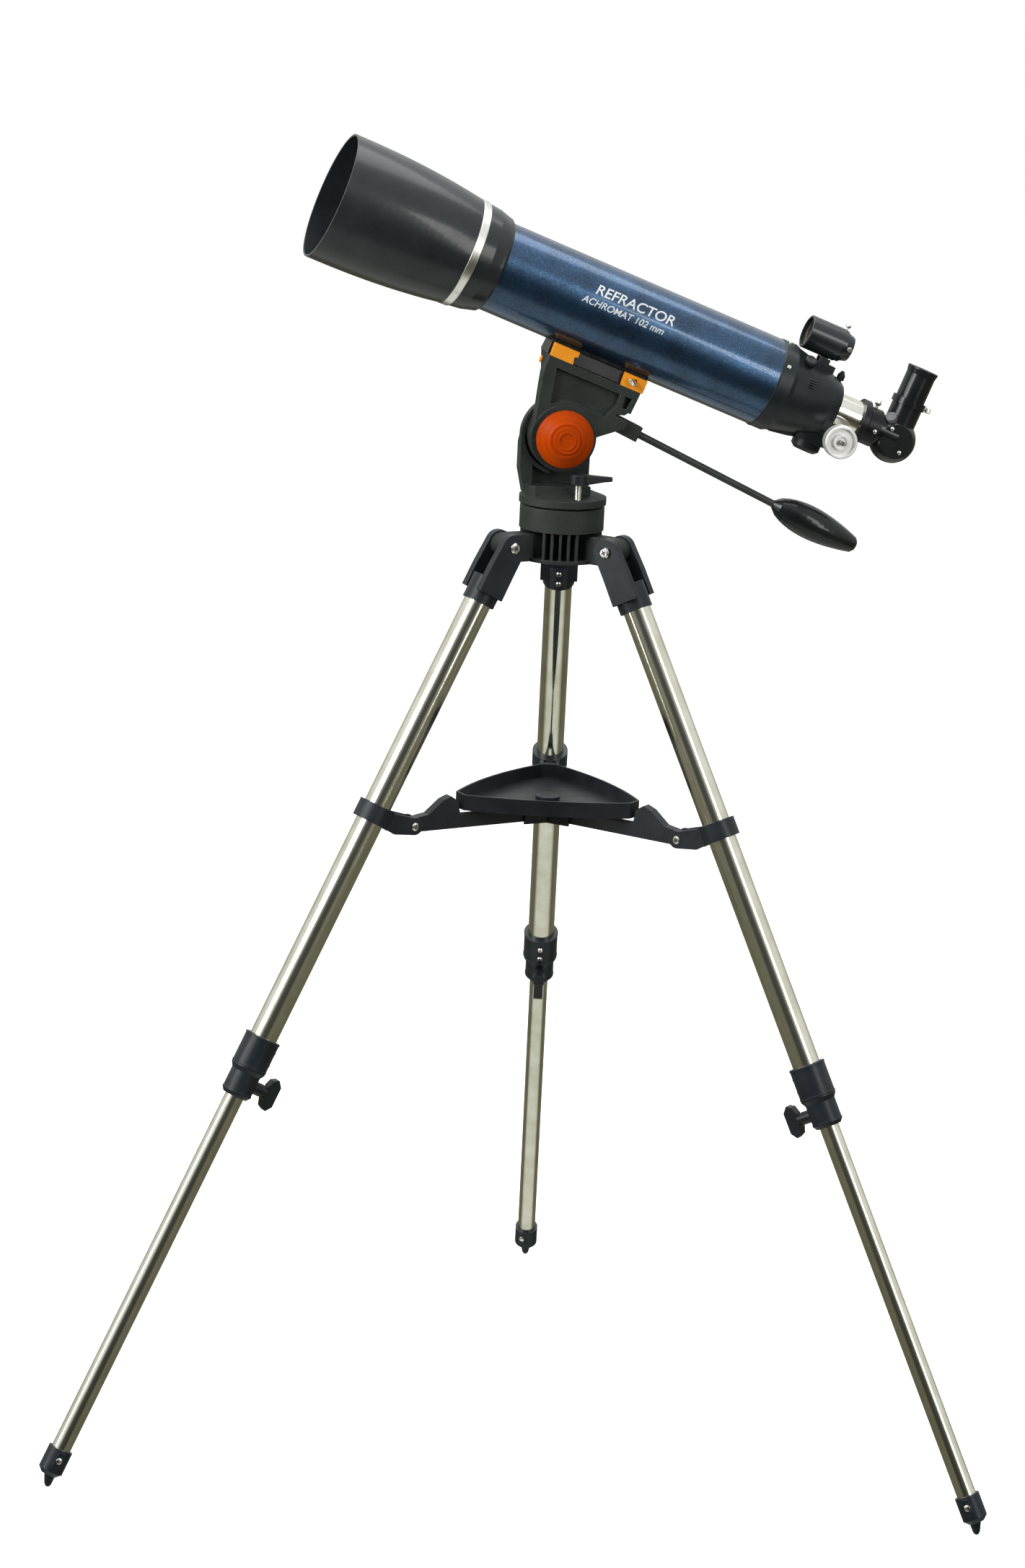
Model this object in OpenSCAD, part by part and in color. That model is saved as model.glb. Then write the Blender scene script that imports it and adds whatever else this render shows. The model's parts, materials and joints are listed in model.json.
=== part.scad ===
// Refractor telescope on an alt-azimuth head and a folding tripod.
// Millimetres, +Z up. The origin is on the floor, under the azimuth axis.

/* [Stance] */
// Height of the leg hinges above the floor
hinge_z = 1049; // [1000:1:1100]
// Distance of each leg hinge from the azimuth axis
hinge_radius = 71; // [70:0.5:74]
// Distance of each foot from the azimuth axis, measured along the leg's line
foot_radius = 609; // [580:1:640]
// Direction that the telescope points in, about the azimuth axis
azimuth_rest = 11.9; // [-60:0.1:60]
// Height angle of the telescope
altitude_rest = 21.3; // [0:0.1:40]

/* [Legs] */
// Diameter of the upper leg tubes
upper_tube_d = 31.75; // [31:0.05:32.5]
// Diameter of the lower leg tubes
lower_tube_d = 22.2; // [20:0.1:23]
// Distance along the leg from its hinge to the top of the clamp
clamp_at = 617; // [560:1:660]
// Distance along the leg from its hinge to the middle of the spreader collar
collar_at = 336.5; // [320:0.5:350]

/* [Spreader] */
// Radius at which the spreader arms meet the leg collars
ear_radius = 177; // [174:0.5:180]
// Height of the spreader arms' pivots
arm_z = 733; // [728:0.5:738]
// Radius of the tray at its corners
tray_corner_r = 115; // [105:1:116]
// Radius of the tray at the middle of each side
tray_side_r = 77; // [70:1:80]

/* [Head] */
// Height of the altitude axis above the floor
pivot_z = 1172; // [1170:0.5:1176]
// Distance of the altitude axis in front of the azimuth axis
pivot_forward = 8; // [6:0.5:12]
// Radius of the turntable under the head
turntable_r = 49.5; // [46:0.5:50]

/* [Optical tube] */
// Height of the optical axis above the altitude axis
axis_lift = 146.2; // [145:0.1:150]
// Outer radius of the main tube
tube_r = 51.5; // [50:0.1:52]
// Length of the main tube that shows, from the lens cell to the focuser
tube_length = 344.6; // [310:0.1:370]
// Outer radius of the dew shield at its front
shield_front_r = 72.8; // [68:0.1:74]
// Length of the dew shield
shield_length = 159; // [130:0.1:170]
// Radius of the chrome drawtube
drawtube_r = 22; // [20:0.1:22]
// Outer radius of the finder
finder_r = 19.4; // [17:0.1:20]

/* [Hidden] */
$fn = 96;
SIDES = ["back", "left", "right"];
LEG_AZIMUTH = [90, 210, 330];
LEG_PIECES = ["leg_bracket", "leg_tube", "leg_clamp", "brace_collar", "leg_screws",
              "clamp_knob", "leg_lower", "foot", "brace_arm"];
SINGLES = ["hub", "hub_bolts", "brace_hub", "tray",
           "azimuth_base", "azimuth_lock", "altitude_knob",
           "saddle", "clamp_jaws", "saddle_lock", "pan_rod", "pan_grip",
           "dovetail_bar", "tube", "lens_cell", "silver_ring", "dew_shield", "objective_lens",
           "focuser_housing", "housing_screws", "drawtube", "visual_back", "pinion_shaft",
           "focus_knobs", "focus_lock", "drawtube_screw",
           "diagonal_body", "diagonal_prism", "eyepiece_screw", "eyepiece", "eyepiece_lens",
           "finder_bracket", "finder_tube"];

run = 0.05;        // radial clearance of a shaft that turns or slides
gap = 0.5;         // gap between faces that pass each other
over = 1;          // how far a cut runs past the face it cuts

// Colours
BLACK = [0.07, 0.08, 0.10];
CASTING = [0.20, 0.22, 0.21];
ORANGE = [0.95, 0.36, 0.05];
CHROME = [0.80, 0.80, 0.78];
NAVY = [0.05, 0.09, 0.20];
GLASS = [0.55, 0.70, 0.80, 0.5];

// Leg geometry, in a frame whose Z axis runs up the leg and whose X axis faces outwards
splay = atan((foot_radius - hinge_radius) / hinge_z);
leg_length = norm([foot_radius - hinge_radius, hinge_z]);
upper_r = upper_tube_d / 2;
lower_r = lower_tube_d / 2;
seat = 0.03;               // clearance of a piece that is pressed or glued in place
lug_w = 23;                // width of the hub's lugs
bracket_w = 43;            // width over a leg bracket's ears
hinge_bolt_r = 4;
bracket_bottom = -72;
bracket_r = 18.4;
clamp_top = -clamp_at;
clamp_upper_l = 39;
clamp_l = 73;
clamp_r = 20.5;
clamp_low_r = 17.3;
clamp_boss_x = -27.5;      // end of the boss that the clamp knob's screw runs in
knob_z = clamp_top - 56;   // where the clamp knob's screw crosses the leg
cup_top = -leg_length + 48.5;
tip_r = 3.5;
tip_x = -4.6;              // the foot's tip is bent inwards by this much
tip_z = (tip_r - hinge_z - tip_x * sin(splay)) / cos(splay);

// Spreader
arm_w = 13;
arm_end_r = 8.5;
arm_root_r = 6.5;          // the arm is slimmer where it meets the spreader hub
hub_pin_r = 26;            // radius of the arms' pivots on the spreader hub
arm_l = ear_radius - hub_pin_r;
ear_dr = ear_radius - hinge_radius;
ear_dz = arm_z - hinge_z;
ear_x = ear_dr * cos(splay) + ear_dz * sin(splay);
ear_z = -ear_dr * sin(splay) + ear_dz * cos(splay);
tray_floor_z = arm_z + 14;
tray_rim_h = 18;
tray_wall = 2.5;

// Head
hub_top = 1093;
hub_base = 1031;
hub_r = 48;
disc_z = hub_top + 2;
shelf_z = disc_z + 22;
rim_r = 44.7;              // rim that stands round the saddle's boss
cheek_r = 38;
cheek_y = [3, 30];
boss_r = 37.5;
boss_y = [-27, 2.5];
lock_at = [8.4, -40.6];
knob_r = 32.5;

// Tilting saddle, in a frame centred on the altitude axis, X towards the eyepiece
saddle_top = 80;
saddle_hw = 26.5;
saddle_x = [-52.5, 61];
jaw_h = 15.4;
jaw_x = [[-52, -22], [36, 63]];
bar_x = [-55, 64];
bar_foot_hw = 20;
bar_neck_hw = 16;
rod_y = -12;
rod_slope = 4.25;
rod_r = 4.2;
rod_root = [52, 38];       // where the handle's line leaves the saddle, X and Z
rod_block_l = 29;
rod_l = 208;
grip_l = 110;

// Stations along the optical axis, from the point over the altitude axis, forwards positive
cell_rear = 149.7;
tube_rear = cell_rear - tube_length;
tube_in = 14;              // how far the tube runs into the focuser's end ring
ring_rear = cell_rear + 29.1;
ring_front = ring_rear + 9.6;
shield_rear = ring_front;
shield_front = shield_rear + shield_length;
cell_r = 56.1;
band_r = 62.2;
barrel_r = 55.6;           // inner barrel of the lens cell, which the dew shield sits on
lens_r = 51;
lens_at = ring_rear + 12;
end_ring = [tube_rear, tube_rear - 22];
ring_r = tube_r + 0.8;
housing_rear = tube_rear - 86;
focus_lock_s = housing_rear + 5.5;
draw_rear = housing_rear - 35;
draw_front = draw_rear + 146;
pinion_s = housing_rear - 11;
pinion_x = -27.5;
pinion_teeth = 9;
gear_module = 1;
pitch = PI * gear_module;
pinion_r = pinion_teeth * gear_module / 2;
back_rear = draw_rear - 22;
nose_r = 15.85;
bend_s = back_rear - 23.8;
upright_top = 46;
eye_top = 83.5;
finder_x = 70.8;
finder_front = housing_rear + 64;
finder_rear = housing_rear + 9.5;
finder_pin_x = 49.2;
finder_pin_s = (finder_front + finder_rear) / 2 - 4;

// ---- frames ----

module on_leg(azimuth) {
  rotate([0, 0, azimuth]) translate([hinge_radius, 0, hinge_z]) rotate([0, -splay, 0]) children();
}

module on_head() {
  rotate([0, 0, azimuth_rest]) children();
}

module on_saddle() {
  on_head() translate([-pivot_forward, 0, pivot_z]) rotate([0, altitude_rest, 0]) children();
}

// Z runs forwards along the optical axis, X points up and Y away from the knob side
module on_axis() {
  on_saddle() translate([0, 0, axis_lift]) rotate([0, -90, 0]) children();
}

// ---- helpers ----

module pipe(outer, inner, h) {
  difference() {
    cylinder(r = outer, h = h);
    translate([0, 0, -over]) cylinder(r = inner, h = h + 2 * over);
  }
}

// A flat shape drawn in X and Z, given a thickness from y0 to y1
module slab(y0, y1) {
  translate([0, y1, 0]) rotate([90, 0, 0]) linear_extrude(y1 - y0) children();
}

// A round bar along Y from y0 to y1
module cross_bar(r, y0, y1) {
  translate([0, y1, 0]) rotate([90, 0, 0]) cylinder(r = r, h = y1 - y0);
}

// A round bar along X from x0 to x1
module along_x(r, x0, x1) {
  translate([x0, 0, 0]) rotate([0, 90, 0]) cylinder(r = r, h = x1 - x0);
}

// A screw head with a domed edge, standing on z = 0
module screw_head(r, h) {
  cylinder(r = r, h = h * 0.5);
  translate([0, 0, h * 0.5]) cylinder(r1 = r, r2 = r * 0.7, h = h * 0.5);
}

// A knurled thumbscrew, standing on z = 0 with its shank down to -depth
module thumbscrew(r, shank_r, reach, depth) {
  translate([0, 0, -depth]) cylinder(r = shank_r, h = depth + reach);
  translate([0, 0, reach]) cylinder(r = r, h = 5);
  translate([0, 0, reach + 5]) cylinder(r1 = r, r2 = r - 1, h = 1);
}

// ---- legs ----

module bracket_ear() {
  circle(r = 15);
  polygon([[-15, 0], [15, 0], [16.5, -30], [16.5, -60], [-15.5, -60], [-15, -30]]);
}

module leg_bracket(azimuth) color(BLACK) on_leg(azimuth) {
  difference() {
    union() {
      for (side = [-1, 1])
        slab(side > 0 ? lug_w / 2 + gap : -bracket_w / 2, side > 0 ? bracket_w / 2 : -lug_w / 2 - gap)
          bracket_ear();
      translate([0, 0, bracket_bottom]) cylinder(r = bracket_r, h = 30);
      translate([-15.2, -lug_w / 2 - over, bracket_bottom]) cube([6, lug_w + 2 * over, 55]);
    }
    cross_bar(hinge_bolt_r + run, -bracket_w, bracket_w);
    translate([0, 0, bracket_bottom - over]) cylinder(r = upper_r + seat, h = 26 + over);
  }
}

module leg_tube(azimuth) color(CHROME) on_leg(azimuth)
  translate([0, 0, clamp_top - clamp_upper_l + 5]) pipe(upper_r, upper_r - 1, clamp_at + clamp_upper_l - 52);

module leg_clamp(azimuth) color(BLACK) on_leg(azimuth) {
  difference() {
    union() {
      translate([0, 0, clamp_top - clamp_upper_l]) cylinder(r = clamp_r, h = clamp_upper_l);
      translate([0, 0, clamp_top - clamp_upper_l - 5])
        cylinder(r1 = clamp_low_r, r2 = clamp_r, h = 5);
      translate([0, 0, clamp_top - clamp_l + 4]) cylinder(r = clamp_low_r, h = clamp_l - 40);
      translate([0, 0, clamp_top - clamp_l])
        cylinder(r1 = clamp_low_r - 3, r2 = clamp_low_r, h = 4);
      translate([0, 0, knob_z]) along_x(7.5, clamp_boss_x, -lower_r - 2);
    }
    translate([0, 0, clamp_top - clamp_upper_l + 4]) cylinder(r = upper_r + seat, h = clamp_upper_l);
    translate([0, 0, clamp_top - clamp_l - over]) cylinder(r = lower_r + run, h = clamp_l);
    translate([0, 0, knob_z]) along_x(3 + run, clamp_boss_x - over, 0);
  }
}

module clamp_knob(azimuth) color(BLACK) on_leg(azimuth) translate([0, 0, knob_z]) {
  along_x(3, clamp_boss_x - 7, -lower_r - 0.4);
  along_x(6.5, clamp_boss_x - 6, clamp_boss_x - gap);
  slab(-5.5, 5.5) translate([clamp_boss_x - 5, 0])
    polygon([[0, 8], [0, -8], [-3, -16], [-9, -19], [-15, -12], [-15, 12], [-9, 19], [-3, 16]]);
}

module brace_collar(azimuth) color(BLACK) on_leg(azimuth) {
  band_h = 21;
  difference() {
    union() {
      translate([0, 0, -collar_at - band_h / 2]) cylinder(r = 21, h = band_h);
      for (y = [[-arm_w / 2 - 5, -arm_w / 2 - gap], [arm_w / 2 + gap, arm_w / 2 + 5]])
        slab(y[0], y[1]) {
          translate([ear_x, ear_z]) circle(r = 10);
          polygon([[-14, -collar_at + 9], [-14, -collar_at - band_h / 2],
                   [-30, -collar_at - band_h / 2 - 1], [ear_x - 4, ear_z - 9.2],
                   [ear_x + 6, ear_z + 8]]);
        }
    }
    translate([0, 0, -collar_at - band_h]) cylinder(r = upper_r + seat, h = 2 * band_h);
    translate([ear_x, 0, ear_z]) cross_bar(3 + seat, -arm_w, arm_w);
  }
}

module leg_screws(azimuth) color(CHROME) on_leg(azimuth) {
  // two in the bracket and two in the clamp, on the leg's inner face
  for (z = [-48, -62]) translate([-bracket_r, 0, z]) rotate([0, -90, 0]) screw_head(3.2, 2.4);
  for (z = [clamp_top - 12, clamp_top - 27])
    translate([-clamp_r, 0, z]) rotate([0, -90, 0]) screw_head(3.4, 2.4);
  // a short pivot screw in each of the collar's ears
  for (side = [-1, 1]) translate([ear_x, side * (arm_w / 2 + gap + 0.2), ear_z])
    rotate([-side * 90, 0, 0]) {
      cylinder(r = 3, h = 4.3);
      translate([0, 0, 4.3]) screw_head(4.6, 2.6);
    }
}

module leg_lower(azimuth) color(CHROME) on_leg(azimuth) {
  guide_z = clamp_top - 18;
  difference() {
    union() {
      translate([0, 0, cup_top - 20]) cylinder(r = lower_r, h = guide_z - cup_top + 40);
      translate([0, 0, guide_z]) cylinder(r = upper_r - 1 - run, h = 20);
    }
    translate([0, 0, cup_top - 20 - over]) cylinder(r = lower_r - 1, h = guide_z - cup_top + 60);
  }
}

module foot(azimuth) color(BLACK) on_leg(azimuth) {
  cup_l = 27;
  end = cup_top - cup_l;
  reach = norm([tip_x, tip_z - end - 3]);
  lean = atan2(tip_x, tip_z - end - 3);
  difference() {
    union() {
      translate([0, 0, end]) cylinder(r = 14.2, h = cup_l);
      translate([0, 0, end - 5]) cylinder(r1 = 9, r2 = 14.2, h = 5);
      translate([0, 0, end + 3]) rotate([0, lean, 0]) cylinder(r1 = 8.5, r2 = tip_r + 0.6, h = reach);
      translate([tip_x, 0, tip_z]) sphere(r = tip_r);
    }
    translate([0, 0, end + 5]) cylinder(r = lower_r + seat, h = cup_l);
  }
}

module brace_arm(azimuth) color(BLACK) rotate([0, 0, azimuth]) {
  low = arm_z - arm_end_r;
  top = arm_z + arm_end_r;
  difference() {
    union() {
      translate([ear_radius, 0, arm_z]) cross_bar(arm_end_r, -arm_w / 2, arm_w / 2);
      translate([hub_pin_r, 0, arm_z]) cross_bar(arm_root_r, -arm_w / 2, arm_w / 2);
      slab(-arm_w / 2 + 0.2, arm_w / 2 - 0.2)
        polygon([[hub_pin_r, arm_z - arm_root_r + 0.6], [hub_pin_r, arm_z + arm_root_r - 0.6],
                 [tray_corner_r - 30, top - 0.6], [tray_corner_r + 1.5, top - 0.6],
                 [tray_corner_r + 5, top + 16], [tray_corner_r + 14, top + 22],
                 [tray_corner_r + 24, top + 18], [ear_radius - 20, top + 3],
                 [ear_radius, top - 0.6], [ear_radius, low + 0.6]]);
    }
    translate([hub_pin_r, 0, arm_z]) cross_bar(2.5 + run, -arm_w, arm_w);
    // the arm is a channel, open underneath
    slab(-arm_w / 2 + 2.6, arm_w / 2 - 2.6)
      polygon([[hub_pin_r + 14, low - over], [hub_pin_r + 14, top - 4], [tray_corner_r + 4, top - 4],
               [tray_corner_r + 14, top + 15], [ear_radius - 26, top - 2],
               [ear_radius - 16, low - over]]);
  }
}

// ---- tripod hub, spreader hub and tray ----

module hub() color(CASTING) {
  difference() {
    union() {
      translate([0, 0, 1066]) cylinder(r = hub_r, h = hub_top - 1066 - 1.5);
      translate([0, 0, hub_top - 1.5]) cylinder(r1 = hub_r, r2 = hub_r - 1.5, h = 1.5);
      translate([0, 0, hub_top]) cylinder(r = 30, h = disc_z - hub_top - 0.3);
      translate([0, 0, hub_base]) cylinder(r = 30, h = 37);
      translate([0, 0, hub_base]) cylinder(r = hub_r - 1, h = 4);
      for (a = LEG_AZIMUTH) rotate([0, 0, a]) {
        translate([10, -lug_w / 2, hub_base]) cube([hinge_radius - 10, lug_w, 31]);
        translate([hinge_radius, 0, hinge_z]) cross_bar(13, -lug_w / 2, lug_w / 2);
        // ribs fan out between this lug and the next
        for (b = [-24, -12, 0, 12, 24]) rotate([0, 0, 60 + b])
          translate([20, -1.4, hub_base]) cube([hub_r - 21.5, 2.8, 36]);
      }
    }
    for (a = LEG_AZIMUTH) rotate([0, 0, a]) translate([hinge_radius, 0, hinge_z])
      cross_bar(hinge_bolt_r + seat, -lug_w, lug_w);
    translate([0, 0, hub_base - over]) cylinder(r = 5 + seat, h = 80);
  }
}

module hub_bolts() color(CHROME) {
  for (a = LEG_AZIMUTH) rotate([0, 0, a]) translate([hinge_radius, 0, hinge_z]) {
    cross_bar(hinge_bolt_r, -bracket_w / 2 - 1, bracket_w / 2 + 1);
    for (side = [-1, 1]) translate([0, side * (bracket_w / 2 + gap), 0])
      rotate([-side * 90, 0, 0]) screw_head(6.2, 3.6);
  }
  // the bolt that the head turns on
  translate([0, 0, hub_base - 7]) cylinder(r = 9, h = 7);
  translate([0, 0, hub_base - 7]) cylinder(r = 5, h = disc_z + 18 - hub_base + 7);
}

module brace_hub() color(BLACK) {
  ear_t = 3;
  ear_y = arm_w / 2 + 0.3;
  translate([0, 0, tray_floor_z - 2]) cylinder(r = 38, h = 2);
  translate([0, 0, arm_z - 9]) cylinder(r = 8, h = 22);
  for (a = LEG_AZIMUTH) rotate([0, 0, a]) {
    for (y = [-ear_y - ear_t, ear_y])
      translate([4, y, arm_z - 8.5]) cube([30, ear_t, 21.5]);
    translate([hub_pin_r, 0, arm_z]) cross_bar(2.5, -ear_y - 1, ear_y + 1);
  }
}

// Outline of the tray, shrunk by inset: three shallow arcs with rounded corners
module tray_outline(inset, h) {
  corner = tray_corner_r + 10;
  back = (corner * corner - tray_side_r * tray_side_r) / (2 * tray_side_r - corner);
  side_r = tray_side_r + back - inset;
  intersection() {
    cylinder(r = tray_corner_r - inset, h = h);
    rotate([0, 0, LEG_AZIMUTH[0]]) translate([back, 0, 0]) cylinder(r = side_r, h = h);
    rotate([0, 0, LEG_AZIMUTH[1]]) translate([back, 0, 0]) cylinder(r = side_r, h = h);
    rotate([0, 0, LEG_AZIMUTH[2]]) translate([back, 0, 0]) cylinder(r = side_r, h = h);
  }
}

module tray() color(BLACK) translate([0, 0, tray_floor_z]) {
  difference() {
    tray_outline(0, tray_rim_h);
    translate([0, 0, tray_wall]) tray_outline(tray_wall, tray_rim_h);
  }
  translate([0, 0, over]) cylinder(r = 14, h = 6);
  translate([0, 0, over + 6]) cylinder(r1 = 14, r2 = 10, h = 2);
}

// ---- head ----

module azimuth_base() color(CASTING) on_head() {
  px = -pivot_forward;
  difference() {
    union() {
      translate([0, 0, disc_z]) cylinder(r = turntable_r, h = 8);
      translate([0, 0, disc_z + 8]) cylinder(r1 = turntable_r, r2 = 26, h = 8.5);
      // the foot, whose near part is a low shelf
      translate([0, 0, disc_z]) intersection() {
        cylinder(r = turntable_r - 3, h = 60);
        translate([px - 38, -27, 0]) cube([72, 60, shelf_z - disc_z]);
      }
      // the upright cheek and the rim that stands round the saddle's boss
      slab(cheek_y[0], cheek_y[1]) {
        translate([px, pivot_z]) circle(r = cheek_r);
        polygon([[px - cheek_r, pivot_z + 2], [px + 28, pivot_z + 26], [px + 38, pivot_z + 11],
                 [px + 37.5, shelf_z], [px + 40, disc_z + 8], [px - 35, disc_z + 8], [px - 41, shelf_z + 13],
                 [px - 41, pivot_z - 12]]);
      }
      difference() {
        slab(-7, cheek_y[0] + over) {
          difference() {
            union() {
              translate([px, pivot_z]) circle(r = rim_r);
              polygon([[px - rim_r, pivot_z], [px - 30, pivot_z], [px - 30, disc_z + 8],
                       [px - 37, disc_z + 8], [px - rim_r, shelf_z + 18]]);
            }
            translate([px, pivot_z]) circle(r = boss_r + 3);
            translate([px - 10, pivot_z - 70]) square([80, 140]);
          }
        }
      }
    }
    translate([px, 0, pivot_z]) cross_bar(5 + run, -40, 40);
    translate([0, 0, disc_z - over]) cylinder(r = 5 + run, h = 20);
    translate([lock_at[0], lock_at[1], disc_z - over]) cylinder(r = 4 + run, h = 30);
    // lightening pocket in the far face of the cheek
    translate([px, 0, pivot_z]) cross_bar(30, cheek_y[1] - 8, cheek_y[1] + over);
  }
}

module azimuth_lock() color(BLACK) on_head() translate([lock_at[0], lock_at[1], 0]) {
  hub_z = disc_z + 27;
  translate([0, 0, hub_top + 0.5]) cylinder(r = 4, h = hub_z - hub_top + 4);
  translate([0, 0, hub_z]) cylinder(r1 = 7, r2 = 10, h = 4);
  translate([0, 0, hub_z + 4]) cylinder(r = 10, h = 7);
  translate([0, 0, hub_z + 11]) cylinder(r1 = 10, r2 = 8, h = 1.5);
  hull() {
    translate([4, -5, hub_z + 2]) cube([4, 10, 10]);
    translate([37, -3, hub_z + 4.5]) cube([2.5, 6, 4.5]);
  }
}

module altitude_knob() color(ORANGE) on_head() translate([-pivot_forward, 0, pivot_z]) {
  face = boss_y[0] - gap;
  // the bolt, through the saddle's boss and into the cheek
  cross_bar(5, face - 4, cheek_y[1] - 9);
  translate([0, face, 0]) rotate([90, 0, 0]) {
    cylinder(r = 26, h = 3);
    translate([0, 0, 2]) cylinder(r1 = knob_r - 1.5, r2 = knob_r, h = 2);
    translate([0, 0, 4]) cylinder(r = knob_r, h = 5);
    translate([0, 0, 9]) cylinder(r1 = knob_r, r2 = 19, h = 9);
    translate([0, 0, 18]) cylinder(r1 = 16, r2 = 15, h = 1.6);
    translate([0, 0, 19.6]) pipe(10.5, 8.5, 0.8);
  }
}

// ---- tilting saddle ----

module saddle() color(CASTING) on_saddle() {
  difference() {
    union() {
      cross_bar(boss_r, boss_y[0], boss_y[1]);
      // near web, from the boss up to the jaws
      slab(-saddle_hw, -8)
        polygon([[-boss_r, 0], [-42, 22], [-48.5, 46], [saddle_x[0] + 0.5, 60],
                 [saddle_x[0], saddle_top], [saddle_x[1], saddle_top], [saddle_x[1] - 1, 58],
                 [54, 50], [44, 47], [30, 20]]);
      // top platform, clear of the cheek
      slab(-saddle_hw, saddle_hw)
        polygon([[saddle_x[0], saddle_top], [saddle_x[0] + 11, 54], [saddle_x[1] - 1, 54],
                 [saddle_x[1], saddle_top]]);
      // block that takes the handle
      translate([rod_root[0], rod_y, rod_root[1]]) rotate([0, rod_slope, 0])
        translate([-34, -8, -9]) cube([34 + rod_block_l, 16, 18]);
      slab(-saddle_hw, -8) polygon([[20, 24], [44, 46], [61, 44], [60, 36], [33, 14]]);
    }
    cross_bar(5 + 0.3, -40, 40);
    cross_bar(rim_r + 1.5, -7 - gap, 60);
    // shallow pockets in the near face
    slab(-saddle_hw - over, -saddle_hw + 7)
      polygon([[-40, 70], [40, 70], [42, 58], [34, 40], [12, 41], [-14, 40], [-30, 30]]);
    slab(-saddle_hw - over, -saddle_hw + 7) polygon([[46, 70], [55, 70], [53, 57], [48, 57]]);
    translate([rod_root[0], rod_y, rod_root[1]]) rotate([0, rod_slope, 0])
      along_x(rod_r + run, rod_block_l - 26, rod_block_l + over);
  }
  // the boss itself, where the clearance for the cheek crosses it
  difference() {
    cross_bar(boss_r, -8, boss_y[1]);
    cross_bar(5 + 0.3, -40, 40);
  }
}

// One jaw's cross section, mirrored for the other side
module jaw_section() {
  polygon([[bar_foot_hw + 0.4, saddle_top], [saddle_hw, saddle_top], [saddle_hw, saddle_top + jaw_h],
           [bar_neck_hw + 0.4, saddle_top + jaw_h]]);
}

module clamp_jaws() color(ORANGE) on_saddle() {
  lock_x = (jaw_x[1][0] + jaw_x[1][1]) / 2;
  difference() {
    for (x = jaw_x) translate([x[0], 0, 0]) rotate([90, 0, 90]) linear_extrude(x[1] - x[0]) {
      jaw_section();
      mirror([1, 0]) jaw_section();
    }
    // swallow-tail notch in the rear end of each front jaw
    slab(-saddle_hw - over, saddle_hw + over)
      polygon([[jaw_x[0][1] + over, saddle_top + 10], [jaw_x[0][1] - 4, saddle_top + 8],
               [jaw_x[0][1] - 2, saddle_top], [jaw_x[0][1] + over, saddle_top]]);
    translate([lock_x, 0, saddle_top + 9]) cross_bar(3 + run, -saddle_hw - over, 0);
  }
  // stop screw at the front of the platform
  translate([saddle_x[0], 0, saddle_top - 9]) rotate([0, -90, 0]) {
    cylinder(r = 3, h = 1);
    translate([0, 0, 1]) cylinder(r = 4, h = 1.6);
  }
}

module saddle_lock() color(CHROME) on_saddle()
  translate([(jaw_x[1][0] + jaw_x[1][1]) / 2, -saddle_hw, saddle_top + 9]) rotate([90, 0, 0]) {
    translate([0, 0, -5]) cylinder(r = 3, h = 10);
    translate([0, 0, 3]) cylinder(r = 5.5, h = 5);
    translate([0, 0, 8]) cylinder(r1 = 5.5, r2 = 3.5, h = 1.5);
  }

module on_handle() {
  on_saddle() translate([rod_root[0], rod_y, rod_root[1]]) rotate([0, rod_slope + 90, 0]) children();
}

module pan_rod() color(CASTING) on_handle()
  translate([0, 0, rod_block_l - 24]) cylinder(r = rod_r, h = rod_l - rod_block_l + 24 + 20);

// Radius of the handle's grip at fraction u of its length
function grip_r(u) = 4.5 + 13 * pow(sin(180 * pow(u, 0.75)), 0.85) + 3.6 * u;

module pan_grip() color(BLACK) on_handle() translate([0, 0, rod_l]) {
  steps = 14;
  rotate_extrude() polygon(concat(
    [[rod_r + seat, 22], [rod_r + seat, 0]],
    [for (i = [0 : steps]) [grip_r(i / steps * 0.97), i / steps * grip_l * 0.97]],
    [[grip_r(0.97) * 0.6, grip_l], [0, grip_l], [0, 22]]));
}

// ---- optical tube ----

module dovetail_bar() color(BLACK) on_saddle() {
  foot_z = saddle_top + 0.6;
  neck_z = saddle_top + jaw_h + 0.2;
  difference() {
    union() {
      translate([bar_x[0], 0, 0]) rotate([90, 0, 90]) linear_extrude(bar_x[1] - bar_x[0])
        polygon([[-bar_foot_hw, foot_z], [bar_foot_hw, foot_z], [bar_neck_hw, neck_z],
                 [-bar_neck_hw, neck_z]]);
      translate([bar_x[0], -19, saddle_top + jaw_h + 0.2]) cube([bar_x[1] - bar_x[0], 38, 9]);
    }
    translate([0, 0, axis_lift]) along_x(tube_r + seat, bar_x[0] - over, bar_x[1] + over);
  }
}

module tube() color(NAVY) on_axis()
  translate([0, 0, tube_rear - tube_in]) pipe(tube_r, tube_r - 1.4, tube_length + tube_in + 15);

module lens_cell() color(BLACK) on_axis() {
  barrel_front = ring_front + 20;
  rotate_extrude() polygon([
    [tube_r + seat, cell_rear - 4], [cell_r - 3.4, cell_rear - 4], [cell_r - 0.8, cell_rear - 1.5],
    [cell_r, cell_rear + 2], [cell_r + 3.4, cell_rear + 14], [band_r - 1, ring_rear],
    [barrel_r, ring_rear], [barrel_r, barrel_front], [lens_r - 2, barrel_front],
    [lens_r - 2, barrel_front - 3], [lens_r + seat, barrel_front - 3], [lens_r + seat, lens_at],
    [lens_r - 3, lens_at], [lens_r - 3, cell_rear + 15.2], [tube_r + seat, cell_rear + 15.2]]);
}

module silver_ring() color(CHROME) on_axis()
  rotate_extrude() polygon([
    [barrel_r + seat, ring_rear], [band_r - 0.6, ring_rear], [band_r, ring_rear + 0.8],
    [band_r + 0.4, ring_front - 0.8], [band_r, ring_front], [barrel_r + seat, ring_front]]);

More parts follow.
